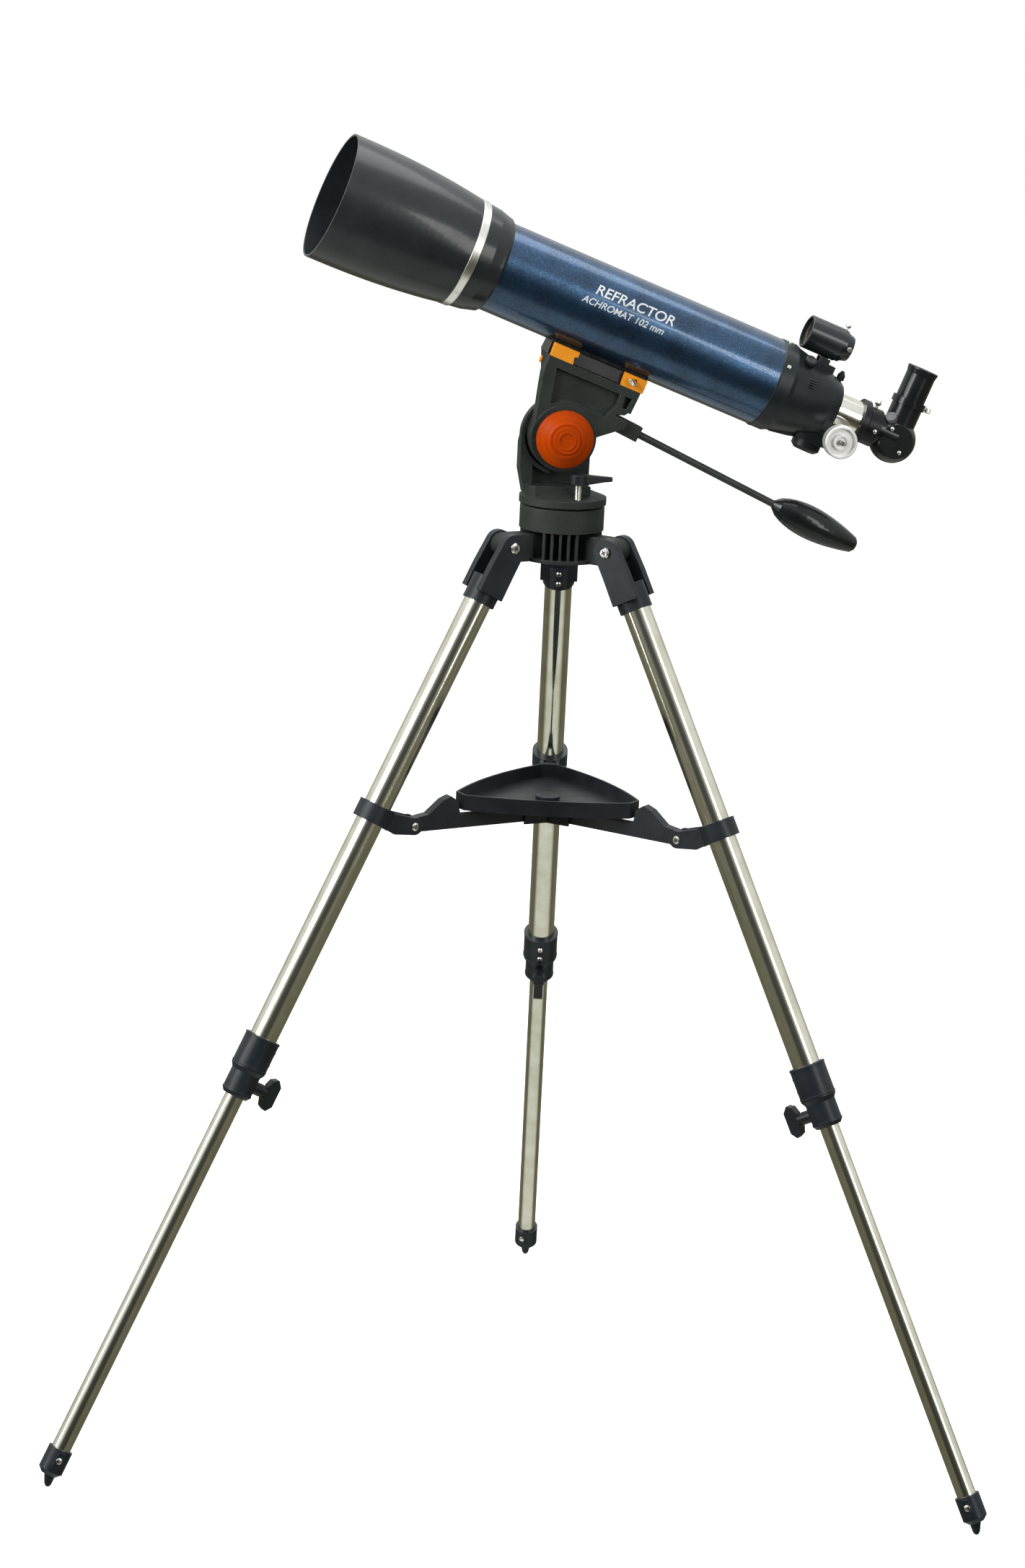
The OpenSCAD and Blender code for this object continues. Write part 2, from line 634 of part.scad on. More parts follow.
// Outer radius of the dew shield at fraction u of its tapered length
function shield_r(u) = band_r + (shield_front_r - band_r) * (1 - pow(1 - u, 2.2));

module dew_shield() color(BLACK) on_axis() {
  lip = 8;
  wall = 2.4;
  steps = 16;
  taper = shield_length - lip;
  rotate_extrude() polygon(concat(
    [[barrel_r + seat, shield_rear + 20], [barrel_r + seat, shield_rear + 0.1]],
    [for (i = [0 : steps]) [shield_r(i / steps), shield_rear + 0.1 + taper * i / steps]],
    [[shield_front_r, shield_front], [shield_front_r - wall, shield_front]],
    [for (i = [steps : -1 : 2]) [shield_r(i / steps) - wall, shield_rear + 0.1 + taper * i / steps]]));
}

// How far a lens face of radius r and middle bulge s stands out at distance h from its axis
function sag(h, s, r) = s * (1 - h * h / (r * r));

// A lens between two curved faces, given by how far each bulges at its middle
module lens(r, edge, front_sag, rear_sag) {
  steps = 8;
  rotate_extrude() polygon(concat(
    [for (i = [0 : steps]) [r * i / steps, -sag(r * i / steps, rear_sag, r)]],
    [for (i = [steps : -1 : 0]) [r * i / steps, edge + sag(r * i / steps, front_sag, r)]]));
}

module objective_lens() color(GLASS) on_axis() {
  // crown in front, flint behind, with a narrow air gap
  translate([0, 0, lens_at + 6.7]) lens(lens_r - seat, 3.2, 3, 3);
  translate([0, 0, lens_at + 0.1]) lens(lens_r - seat, 6, -3.2, -0.6);
}

// Radius of the focuser's housing at fraction u of its taper
function housing_r(u) = 33 + 17 * pow(1 - u, 0.8);

// The housing's turned outer shape, grown outwards by extra
module housing_skin(extra) {
  steps = 8;
  cone_front = end_ring[1];
  cone_l = cone_front - housing_rear;
  rotate_extrude() polygon(concat(
    [[0, end_ring[0]], [ring_r - 0.4 + extra, end_ring[0]],
     [ring_r + extra, end_ring[0] - 1.5], [ring_r + extra, cone_front + 5],
     [housing_r(0) + extra, cone_front]],
    [for (i = [0 : steps]) [housing_r(i / steps) + extra, cone_front - (cone_l - 3) * i / steps]],
    [[30.5, housing_rear], [0, housing_rear]]));
}

module focuser_housing() color(BLACK) on_axis() {
  difference() {
    union() {
      housing_skin(0);
      // pinion block under the drawtube, and its rounded cover
      translate([-43, -19, pinion_s - 8]) cube([26, 38, 50]);
      slab(-12, 12)
        polygon([[-36, end_ring[1] - 1], [-49.3, end_ring[1] - 3], [-46.3, end_ring[1] - 24],
                 [-43.7, end_ring[1] - 35], [-40, end_ring[1] - 45], [-36, end_ring[1] - 45]]);
      translate([-33, 0, housing_rear + 11]) rotate([0, -90, 0]) {
        cylinder(r = 17, h = 18);
        translate([0, 0, 18]) cylinder(r1 = 17, r2 = 12, h = 4);
      }
    }
    // socket for the tube and hollow inside
    translate([0, 0, tube_rear - tube_in - 0.1]) cylinder(r = tube_r + seat, h = 60);
    translate([0, 0, end_ring[1]]) cylinder(r = tube_r - 5, h = 40);
    translate([0, 0, housing_rear + 34]) cylinder(r1 = 27, r2 = 42, h = end_ring[1] - housing_rear - 33.9);
    translate([0, 0, housing_rear - 20]) cylinder(r = drawtube_r + run, h = 80);
    // way for the rack, and the chamber that the pinion turns in
    translate([-24.6, -3.6, housing_rear - 40]) cube([10, 7.2, 90]);
    translate([pinion_x, 0, pinion_s]) cross_bar(pinion_r + 1.6, -4.2, 4.2);
    translate([pinion_x, 0, pinion_s]) cross_bar(3 + run, -30, 30);
    // thread of the focus lock, and the flat that its head turns on
    translate([15, 0, focus_lock_s]) rotate([0, 90, 0]) cylinder(r = 2.5 + run, h = 30);
    translate([33.6, 0, focus_lock_s]) rotate([0, 90, 0]) cylinder(r = 5, h = 10);
  }
}

module housing_screws() color(CHROME) on_axis()
  for (a = [12, 59, 192, 239]) rotate([0, 0, -a]) translate([ring_r, 0, end_ring[0] - 7])
    rotate([0, 90, 0]) screw_head(2.6, 2);

// Rack teeth stand out of the drawtube's underside and mesh with the pinion
module drawtube() color(CHROME) on_axis() {
  root = pinion_x + pinion_r + 0.8;
  tip = pinion_x + pinion_r - 0.65;
  teeth = 34;
  difference() {
    union() {
      translate([0, 0, draw_rear]) cylinder(r = drawtube_r, h = draw_front - draw_rear);
      translate([root, -3, draw_rear + 14]) cube([3, 6, (teeth + 1) * pitch]);
      for (i = [-7 : teeth - 8]) translate([0, 3, pinion_s + (i + 0.5) * pitch]) rotate([90, 0, 0])
        linear_extrude(6) polygon([[root + 0.4, -0.75], [tip, -0.3], [tip, 0.3], [root + 0.4, 0.75]]);
    }
    translate([0, 0, draw_rear - over]) cylinder(r = drawtube_r - 2.6, h = draw_front - draw_rear + 2);
  }
}

module pinion_shaft() color(CHROME) on_axis() translate([pinion_x, 0, pinion_s]) {
  root_r = pinion_r - 0.85;
  clear_r = pinion_r + 1.5;
  cross_bar(3, -58, 58);
  difference() {
    cross_bar(pinion_r + 0.65, -3.6, 3.6);
    // tooth gaps
    for (i = [0 : pinion_teeth - 1]) rotate([0, (i + 0.5) * 360 / pinion_teeth, 0]) slab(-4, 4)
      polygon([[root_r, -0.62], [clear_r, -2.19], [clear_r, 2.19], [root_r, 0.62]]);
  }
}

module focus_knobs() color(CHROME) on_axis() translate([pinion_x, 0, pinion_s])
  for (side = [-1, 1]) rotate([-side * 90, 0, 0]) translate([0, 0, 40])
    difference() {
      union() {
        translate([0, 0, -12]) cylinder(r = 9, h = 14);
        cylinder(r = 19, h = 12);
        translate([0, 0, 12]) cylinder(r1 = 19, r2 = 18, h = 1.5);
      }
      translate([0, 0, -13]) cylinder(r = 3 + seat, h = 30);
      translate([0, 0, 9]) pipe(16, 9, 6);
      translate([0, 0, 11]) cylinder(r = 6.5, h = 4);
    }

module focus_lock() color(BLACK) on_axis() translate([0, 0, focus_lock_s]) rotate([0, 90, 0]) {
  translate([0, 0, drawtube_r + 0.5]) cylinder(r = 2.5, h = 14);
  translate([0, 0, 34.5]) cylinder(r = 4.5, h = 6);
  translate([0, 0, 40.5]) cylinder(r1 = 4.5, r2 = 1.5, h = 5);
}

module visual_back() color(BLACK) on_axis() difference() {
  union() {
    translate([0, 0, draw_rear - 5]) cylinder(r = 26.5, h = 8);
    translate([0, 0, draw_rear - 7]) cylinder(r1 = 23, r2 = 26.5, h = 2);
    translate([0, 0, back_rear]) cylinder(r = 22, h = draw_rear - back_rear);
  }
  translate([0, 0, draw_rear]) cylinder(r = drawtube_r + seat, h = 10);
  translate([0, 0, back_rear - over]) cylinder(r = nose_r + run, h = 60);
  translate([10, 0, back_rear + 9]) rotate([0, 90, 0]) cylinder(r = 2 + run, h = 20);
}

module drawtube_screw() color(CHROME) on_axis() translate([nose_r + 0.5, 0, back_rear + 9])
  rotate([0, 90, 0]) thumbscrew(3.6, 2, 9, 0);

module diagonal_body() color(BLACK) on_axis() {
  centre = [-4, 0, bend_s];
  difference() {
    union() {
      translate([0, 0, bend_s]) cylinder(r = nose_r, h = back_rear - bend_s + 18);
      translate([0, 0, bend_s]) cylinder(r = 19, h = back_rear - bend_s - gap);
      intersection() {
        translate(centre) sphere(r = 27);
        translate([-40, -18.5, bend_s - 40]) cube([80, 37, 40 + back_rear - bend_s - gap]);
      }
      translate([0, 0, bend_s]) rotate([0, 90, 0]) cylinder(r = 18, h = upright_top - 7);
      translate([upright_top - 8, 0, bend_s]) rotate([0, 90, 0]) cylinder(r = 20, h = 8);
    }
    translate([0, 0, bend_s]) cylinder(r = 13, h = 70);
    translate([12.2, 0, bend_s]) rotate([0, 90, 0]) cylinder(r = nose_r + run, h = 60);
    translate([-12.5, -12.5, bend_s - 12.5]) cube([25, 25, 25]);
    translate([upright_top - 4, 0, bend_s]) rotate([0, 180, 0]) cylinder(r = 2 + run, h = 40);
  }
}

module diagonal_prism() color(GLASS) on_axis() translate([0, 0, bend_s]) rotate([90, 0, 0])
  translate([0, 0, -12.2]) linear_extrude(24.4)
    polygon([[12.2, 12.2], [-12.2, 12.2], [12.2, -12.2]]);

module eyepiece_screw() color(CHROME) on_axis()
  translate([upright_top - 4, 0, bend_s - nose_r - 0.5]) rotate([0, 180, 0]) thumbscrew(3.6, 2, 5.5, 0);

module eyepiece() color(BLACK) on_axis() translate([0, 0, bend_s]) rotate([0, 90, 0])
  rotate_extrude() polygon([
    [12, 21], [nose_r, 21], [nose_r, upright_top + 0.3], [17, upright_top + 0.3],
    [17, eye_top - 8], [18.2, eye_top - 2], [18.2, eye_top - 0.6], [17.6, eye_top],
    [12.5, eye_top], [10.06, eye_top - 3], [10.06, eye_top - 11], [9, eye_top - 11],
    [9, upright_top + 4], [12, upright_top]]);

module eyepiece_lens() color(GLASS) on_axis() translate([0, 0, bend_s]) rotate([0, 90, 0])
  translate([0, 0, eye_top - 11]) lens(10, 4, 1.5, 0);

// ---- finder ----

module finder_bracket() color(BLACK) on_axis() {
  ear_top = finder_pin_x + 1.8;
  difference() {
    union() {
      translate([34, -8.5, finder_pin_s - 15]) cube([finder_pin_x - 37.6, 17, 28]);
      for (y = [-8.5, 4.5]) translate([34, y, finder_pin_s - 6]) cube([ear_top - 34, 4, 12]);
    }
    housing_skin(seat);
  }
  translate([finder_pin_x, 0, finder_pin_s]) cross_bar(1.5, -5, 5);
}

module finder_tube() color(BLACK) on_axis() {
  step_l = 14;
  lug_r = 3.4;
  l = finder_front - finder_rear;
  difference() {
    union() {
      translate([finder_x, 0, finder_rear + step_l]) cylinder(r = finder_r, h = l - step_l);
      translate([finder_x, 0, finder_rear + step_l - 5]) cylinder(r = finder_r - 1, h = 6);
      translate([finder_x, 0, finder_rear]) cylinder(r1 = finder_r - 5, r2 = finder_r - 2, h = 10);
      translate([finder_pin_x, -4, finder_pin_s - lug_r]) cube([6, 8, 2 * lug_r]);
      translate([finder_pin_x, 0, finder_pin_s]) cross_bar(lug_r, -4, 4);
    }
    translate([finder_x, 0, finder_rear + step_l + 2]) cylinder(r = finder_r - 2.5, h = l);
    translate([finder_x, 0, finder_rear - over]) cylinder(r = finder_r - 9, h = l);
    translate([finder_pin_x, 0, finder_pin_s]) cross_bar(1.5 + run, -5, 5);
  }
}

// ---- assembly ----

for (i = [0 : 2]) {
  leg_bracket(LEG_AZIMUTH[i]);
  leg_tube(LEG_AZIMUTH[i]);
  leg_clamp(LEG_AZIMUTH[i]);
  brace_collar(LEG_AZIMUTH[i]);
  leg_screws(LEG_AZIMUTH[i]);
  clamp_knob(LEG_AZIMUTH[i]);
  leg_lower(LEG_AZIMUTH[i]);
  foot(LEG_AZIMUTH[i]);
  brace_arm(LEG_AZIMUTH[i]);
}
hub();
hub_bolts();
brace_hub();
tray();
azimuth_base();
azimuth_lock();
altitude_knob();
saddle();
clamp_jaws();
saddle_lock();
pan_rod();
pan_grip();
dovetail_bar();
tube();
lens_cell();
silver_ring();
dew_shield();
objective_lens();
focuser_housing();
housing_screws();
drawtube();
visual_back();
pinion_shaft();
focus_knobs();
focus_lock();
drawtube_screw();
diagonal_body();
diagonal_prism();
eyepiece_screw();
eyepiece();
eyepiece_lens();
finder_bracket();
finder_tube();
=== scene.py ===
import json
import math

import bmesh
import bpy
from mathutils import Matrix, Vector


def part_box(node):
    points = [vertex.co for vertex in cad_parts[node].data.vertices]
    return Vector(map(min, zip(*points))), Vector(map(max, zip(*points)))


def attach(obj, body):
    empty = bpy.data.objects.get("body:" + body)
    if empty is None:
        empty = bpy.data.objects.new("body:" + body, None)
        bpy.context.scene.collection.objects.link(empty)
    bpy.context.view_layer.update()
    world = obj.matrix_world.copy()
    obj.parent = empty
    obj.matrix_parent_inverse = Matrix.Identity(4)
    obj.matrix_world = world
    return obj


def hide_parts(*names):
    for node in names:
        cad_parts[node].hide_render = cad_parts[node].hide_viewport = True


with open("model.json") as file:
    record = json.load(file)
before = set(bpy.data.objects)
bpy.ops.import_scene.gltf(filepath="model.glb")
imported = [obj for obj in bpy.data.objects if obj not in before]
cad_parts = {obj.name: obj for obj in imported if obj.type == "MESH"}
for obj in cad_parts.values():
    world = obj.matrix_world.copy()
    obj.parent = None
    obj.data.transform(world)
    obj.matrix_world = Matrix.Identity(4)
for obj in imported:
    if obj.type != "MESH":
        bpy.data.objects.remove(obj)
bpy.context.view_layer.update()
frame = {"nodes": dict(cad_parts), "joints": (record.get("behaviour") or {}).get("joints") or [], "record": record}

MM = 0.001
SIDES = ("back", "left", "right")
BOTH_WAYS = (-1, 1)


# ---- places ----

JOINTS = {j["name"]: j for j in frame["joints"]}
MOUNTS = {m["name"]: m for m in frame["record"]["mounts"]}
Z_AXIS = Vector((0, 0, 1))
LEVEL = Vector((1, 1, 0))  # times a vector, leaves its level part


def place(origin, x, z):
    """The frame at origin with the given Z axis and an X axis as near x as it can be."""
    z = Vector(z).normalized()
    x = Vector(x)
    x = (x - z * x.dot(z)).normalized()
    matrix = Matrix((x, z.cross(x), z)).transposed().to_4x4()
    matrix.translation = Vector(origin)
    return matrix


def moved(base, x, y, z, axis=(0, 0, 1), across=(1, 0, 0)):
    """A frame at (x, y, z) mm in base, its Z turned to axis and its X towards across, both in base."""
    turn = base.to_3x3()
    return place(base @ (Vector((x, y, z)) * MM), turn @ Vector(across), turn @ Vector(axis))


def joint_frame(name, x):
    """The frame at a joint, its Z along the joint's axis."""
    return place(JOINTS[name]["pos_m"], x, JOINTS[name]["axis"])


def leg_frame(side):
    """The frame at a leg's hinge: its Z runs up the leg and its X points away from the tripod's middle."""
    hinge = Vector(JOINTS["leg_fold_" + side]["pos_m"])
    return place(hinge, hinge * LEVEL, -Vector(JOINTS["leg_extend_" + side]["axis"]))


def extent(node, base):
    """Lowest and highest corner of a CAD node in a local frame, in mm."""
    inverse = base.inverted()
    points = [inverse @ v.co / MM for v in frame["nodes"][node].data.vertices]
    low = Vector([min(p[i] for p in points) for i in range(3)])
    high = Vector([max(p[i] for p in points) for i in range(3)])
    return low, high


PIVOT = Vector(JOINTS["altitude_tilt"]["pos_m"])
SIDEWAYS = Vector(JOINTS["altitude_tilt"]["axis"])
FORWARD = Vector(JOINTS["dovetail_slide"]["axis"])
UP = SIDEWAYS.cross(FORWARD)
LIP = Vector(MOUNTS["shield_lip"]["pos_m"])
OPTIC = place(LIP - FORWARD * (LIP - PIVOT).dot(FORWARD), UP, FORWARD)
LEGS = {side: leg_frame(side) for side in SIDES}
NEAR_SIDE = (0, -1, 0)     # in the optical frame
ORANGE_KNOB_AXIS = joint_frame("altitude_lock_screw", Z_AXIS)
PINION_AXIS = place(JOINTS["pinion_turn"]["pos_m"], UP, SIDEWAYS)


# ---- materials ----

METAL_EDGE = 0.0004        # how far a metal edge is rounded off, m
DRAWN_OUT = (1.0, 1.0, 0.01)  # a scale that draws a noise out along Z


class Nodes:
    """Adds nodes to one node tree and joins them up."""

    def __init__(self, tree):
        self.tree = tree

    def add(self, kind, settings=(), **inputs):
        """A node of that kind, with its settings and its inputs, which are sockets or plain values."""
        node = self.tree.nodes.new("ShaderNode" + kind)
        for name, value in dict(settings).items():
            setattr(node, name, value)
        self.fill(node, inputs)
        return node

    def fill(self, node, inputs):
        for name, value in inputs.items():
            self.put(node.inputs[name.replace("_", " ")], value)

    def put(self, target, value):
        if isinstance(value, bpy.types.NodeSocket):
            self.tree.links.new(value, target)
        else:
            target.default_value = value

    def remap(self, value, low, high, to_low=0.0, to_high=1.0):
        node = self.add("MapRange", {"clamp": True})
        for i, v in enumerate((value, low, high, to_low, to_high)):
            self.put(node.inputs[i], v)
        return node.outputs["Result"]

    def math(self, operation, a, b=0.0):
        node = self.add("Math", {"operation": operation})
        self.put(node.inputs[0], a)
        self.put(node.inputs[1], b)
        return node.outputs[0]

    def mix(self, share, a, b, blend="MIX"):
        node = self.add("Mix", {"data_type": "RGBA", "blend_type": blend})
        self.put(node.inputs[0], share)
        self.put(node.inputs[6], colour(a))
        self.put(node.inputs[7], colour(b))
        return node.outputs[2]


class Finish(Nodes):
    """Makes one material. Its patterns are laid out in the frame base, or in the piece's own."""

    def __init__(self, name, base=None):
        self.material = bpy.data.materials.new(name)
        self.material.use_nodes = True
        super().__init__(self.material.node_tree)
        self.shader = self.tree.nodes["Principled BSDF"]
        self.point = self.add("TexCoord").outputs["Object"]
        if base is not None:
            inverse = base.inverted()
            self.point = self.add(
                "Mapping",
                Vector=self.point,
                Location=inverse.translation,
                Rotation=inverse.to_euler(),
            ).outputs["Vector"]

    def set(self, **inputs):
        """Sets the shader's own sockets."""
        self.fill(self.shader, inputs)

    def noise(self, scale, detail=3.0, stretch=None):
        point = self.point
        if stretch:
            point = self.add("Mapping", Vector=point, Scale=stretch).outputs["Vector"]
        return self.add("TexNoise", Vector=point, Scale=scale, Detail=detail).outputs["Fac"]

    def cloud(self, scale, detail, low, high, to_low=0.0, to_high=1.0):
        """Noise with its values from low to high spread out from to_low to to_high."""
        return self.remap(self.noise(scale, detail), low, high, to_low, to_high)

    def rounded(self, radius):
        """The surface's normal with its edges rounded off by radius, in metres."""
        return self.add("Bevel", {"samples": 6}, Radius=radius).outputs["Normal"]

    def edges(self, radius):
        """1 along sharp edges and 0 on open faces."""
        flat = self.add("NewGeometry").outputs["Normal"]
        node = self.add("VectorMath", {"operation": "DOT_PRODUCT"})
        self.put(node.inputs[0], self.rounded(radius))
        self.put(node.inputs[1], flat)
        return self.remap(node.outputs["Value"], 0.995, 0.80)

    def bump(self, height, depth, normal=None):
        """A normal for a surface that rises by depth, in metres, where height is 1."""
        node = self.add("Bump", Height=height, Distance=depth, Strength=1.0)
        if normal is not None:
            self.put(node.inputs["Normal"], normal)
        return node.outputs["Normal"]


def colour(value):
    if isinstance(value, (tuple, list)) and len(value) == 3:
        return (*value, 1.0)
    return value


def painted(name, dark, light, rough, grain=900.0, depth=0.00004, mottle=35.0, wear_and_edge_light=0.35,
            worn_and_lit=(0.30, 0.31, 0.31), edge=0.0006, metallic=0.0, coat=0.0, specular=0.28):
    """A moulded, cast or painted surface: uneven colour, a fine grain, rounded edges, and corners that take the
    worn colour, partly as rubbed wear and partly as a painted edge highlight.
    """
    f = Finish(name)
    body = f.mix(f.cloud(mottle, 5.0, 0.32, 0.68), dark, light)
    speck = tuple(min(1.0, c * 1.7 + 0.004) for c in light)
    body = f.mix(f.cloud(grain * 1.7, 2.0, 0.45, 0.75, 0.0, 0.35), body, speck)
    # Sharp corners take the worn colour in patches: partly rubbed wear, partly a painted highlight along the
    # edges.
    rubbed_and_lit = f.math("MULTIPLY", f.edges(edge * 2.0), f.cloud(160.0, 4.0, 0.40, 0.66))
    rubbed_and_lit = f.math("MULTIPLY", rubbed_and_lit, wear_and_edge_light)
    body = f.mix(rubbed_and_lit, body, worn_and_lit)
    f.set(
        Base_Color=body,
        Roughness=f.cloud(22.0, 6.0, 0.35, 0.65, rough * 0.86, min(1.0, rough * 1.16)),
        Metallic=metallic,
        Coat_Weight=coat,
        Coat_Roughness=0.08,
        Specular_IOR_Level=specular,
        Normal=f.bump(f.noise(grain, 2.0), depth, f.rounded(edge)),
    )
    return f.material


def polished(name, tint, shade, rough, base=None, smudge=40.0):
    """Bare metal with fine tool marks drawn out along base's Z axis, and faint smudges."""
    f = Finish(name, base)
    marks = f.noise(1800.0, 3.0, DRAWN_OUT)
    cloud = f.cloud(smudge, 6.0, 0.35, 0.70)
    body = f.mix(cloud, tint, shade)
    body = f.mix(f.remap(marks, 0.40, 0.75, 0.0, 0.30), body, shade)
    grained = f.remap(marks, 0.3, 0.7, rough * 0.75, rough * 1.2)
    smeared = f.remap(cloud, 0.3, 1.0, 0.0, rough * 0.5)
    f.set(
        Base_Color=body,
        Roughness=f.math("ADD", grained, smeared),
        Metallic=1.0,
        Normal=f.bump(marks, 0.000004, f.rounded(METAL_EDGE)),
    )
    return f.material


def turned(name, tint, shade, rough, base, scale=900.0, depth=0.00001, metallic=1.0, specular=0.5,
           edge=METAL_EDGE):
    """Metal or plastic turned on a lathe about base's Z axis: fine rings from its tool."""
    f = Finish(name, base)
    parts = f.add("SeparateXYZ", Vector=f.point).outputs
    square = f.math("ADD", f.math("POWER", parts["X"], 2.0), f.math("POWER", parts["Y"], 2.0))
    spread = f.add("CombineXYZ", X=f.math("SQRT", square), Y=parts["Z"]).outputs["Vector"]
    rings = f.add("TexNoise", {"noise_dimensions": "2D"}, Vector=spread, Scale=scale, Detail=3.0)
    marks = rings.outputs["Fac"]
    body = f.mix(f.remap(marks, 0.35, 0.75), tint, shade)
    body = f.mix(f.math("MULTIPLY", f.cloud(45.0, 6.0, 0.35, 0.70), 0.35), body, shade)
    f.set(
        Base_Color=body,
        Roughness=f.remap(marks, 0.3, 0.7, rough * 0.8, rough * 1.25),
        Metallic=metallic,
        Specular_IOR_Level=specular,
        Normal=f.bump(marks, depth, f.rounded(edge)),
    )
    return f.material


def flake_paint(name, deep, bright, sparkle):
    """Metallic paint: small flakes of differing brightness under a clear coat."""
    f = Finish(name, OPTIC)
    flakes = f.add("TexVoronoi", Vector=f.point, Scale=2600.0)
    lit = f.remap(flakes.outputs["Color"], 0.25, 1.0)
    body = f.mix(f.cloud(30.0, 4.0, 0.3, 0.7), deep, bright)
    body = f.mix(f.math("MULTIPLY", f.math("POWER", lit, 3.0), 0.45), body, sparkle)
    f.set(
        Base_Color=body,
        Roughness=f.cloud(18.0, 5.0, 0.35, 0.65, 0.24, 0.29),
        Metallic=0.75,
        Coat_Weight=0.45,
        Coat_Roughness=0.05,
        Normal=f.bump(lit, 0.000006, f.rounded(METAL_EDGE)),
        Coat_Normal=f.bump(f.noise(260.0, 2.0), 0.000004),
    )
    return f.material


def coated_glass(name):
    """Lens glass with the faint green and purple of its coating, and a little dust."""
    f = Finish(name)
    film = f.add("LayerWeight", Blend=0.35).outputs["Facing"]
    f.set(
        Base_Color=f.mix(film, (0.88, 0.95, 0.93), (0.78, 0.74, 0.92)),
        Roughness=f.cloud(700.0, 4.0, 0.62, 0.80, 0.02, 0.20),
        IOR=1.52,
        Transmission_Weight=1.0,
        Coat_Weight=0.6,
        Coat_Roughness=0.03,
        Coat_Tint=(0.62, 0.90, 0.72, 1.0),
    )
    return f.material


def leg_steel(side):
    """Bright steel with its marks drawn out along one leg."""
    return polished("steel_" + side, (0.74, 0.74, 0.65), (0.60, 0.59, 0.48), 0.12, LEGS[side])


MATERIALS = {
    "casting": painted("cast_paint", (0.014, 0.019, 0.017), (0.026, 0.033, 0.030), 0.58,
                       grain=1300.0, depth=0.00022, worn_and_lit=(0.20, 0.21, 0.20), edge=0.0009),
    "fasteners": polished("bright_steel", (0.80, 0.80, 0.77), (0.60, 0.60, 0.57), 0.16, smudge=300.0),
    "black_plastic": painted("satin_black", (0.007, 0.009, 0.011), (0.014, 0.018, 0.021), 0.40,
                             grain=1500.0, depth=0.000008, wear_and_edge_light=0.0),
    "bracket_plastic": painted("blue_black", (0.007, 0.011, 0.014), (0.015, 0.020, 0.026), 0.36,
                               grain=1500.0, depth=0.00002, worn_and_lit=(0.16, 0.20, 0.26)),
    "orange_knob": turned("orange_moulding", (0.56, 0.066, 0.0010), (0.42, 0.040, 0.0006), 0.36,
                          ORANGE_KNOB_AXIS, scale=420.0, depth=0.00002, metallic=0.0, specular=0.07,
                          edge=0.0007),
    "orange_jaws": painted("orange_paint", (0.96, 0.29, 0.010), (1.0, 0.36, 0.018), 0.42,
                           grain=1100.0, worn_and_lit=(0.45, 0.12, 0.02), mottle=60.0),
    "handle_rod": painted("rod_paint", (0.024, 0.030, 0.029), (0.040, 0.047, 0.045), 0.42),
    "gloss_black": painted("gloss_black", (0.006, 0.008, 0.009), (0.012, 0.014, 0.015), 0.24,
                           grain=900.0, depth=0.000004, coat=0.25, wear_and_edge_light=0.0, specular=0.2),
    "anodised_black": painted("anodised", (0.010, 0.010, 0.012), (0.018, 0.018, 0.020), 0.34,
                              grain=2400.0, depth=0.00002, metallic=0.4),
    "navy_paint": flake_paint("navy_flake", (0.005, 0.019, 0.050), (0.014, 0.052, 0.118),
                              (0.30, 0.55, 0.88)),
    "shield_plastic": painted("charcoal", (0.012, 0.015, 0.017), (0.021, 0.026, 0.028), 0.27,
                              grain=1600.0, depth=0.00003, coat=0.15),
    "silver_trim": turned("silver_trim", (0.82, 0.82, 0.79), (0.66, 0.66, 0.63), 0.24, OPTIC),
    "coated_glass": coated_glass("lens_glass"),
    "housing_plastic": painted("housing_black", (0.008, 0.011, 0.013), (0.016, 0.020, 0.023), 0.34,
                               grain=1700.0, depth=0.00005),
    "chrome_tube": polished("chrome", (0.80, 0.80, 0.74), (0.66, 0.66, 0.58), 0.10, OPTIC),
    "knob_metal": turned("knob_metal", (0.93, 0.93, 0.92), (0.78, 0.78, 0.77), 0.42, PINION_AXIS,
                         scale=1500.0, depth=0.000001, metallic=0.7),
    "finder_black": painted("finder_black", (0.009, 0.013, 0.016), (0.018, 0.024, 0.029), 0.28,
                            grain=1200.0, depth=0.00003, coat=0.3),
}
RECESS = painted("recess_shadow", (0.012, 0.012, 0.012), (0.020, 0.020, 0.019), 0.6)


def finish_cad_nodes():
    """Gives each CAD node its slot's material. The leg tubes have their own, drawn out along each leg."""
    steel = {side: leg_steel(side) for side in SIDES}
    slots = {s["node"]: s["material_slot"] for s in frame["record"]["subparts"]}
    for name, obj in frame["nodes"].items():
        slot = slots[name]
        material = steel[name.rsplit("_", 1)[1]] if slot.startswith("steel") else MATERIALS[slot]
        obj.data.materials.clear()
        obj.data.materials.append(material)


finish_cad_nodes()


# ---- pieces ----

TURNS = 96                 # sides of a turned piece
SMALL_TURNS = 64           # and of a small one
FLUTE = 4                  # sides from one flute of a knurl to the next; half of them are cut
SMOOTH_ANGLE = math.radians(38)


def add_piece(name, mesh, base, body, slot, material=None, bevel=0.0):
    """Puts a mesh, drawn in mm in the frame base, in the scene on a CAD body, in its slot's material."""
    mesh.transform(Matrix.Scale(MM, 4))
    mesh.materials.append(material or MATERIALS[slot])
    for face in mesh.polygons:
        face.use_smooth = True
    mesh.set_sharp_from_angle(angle=SMOOTH_ANGLE)
    piece = bpy.data.objects.new(name, mesh)
    piece.matrix_world = base
    bpy.context.scene.collection.objects.link(piece)
    if bevel:
        softened = piece.modifiers.new("softened", "BEVEL")
        softened.width = bevel * MM
        softened.segments = 3
        softened.limit_method = "ANGLE"
    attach(piece, body)
    return piece


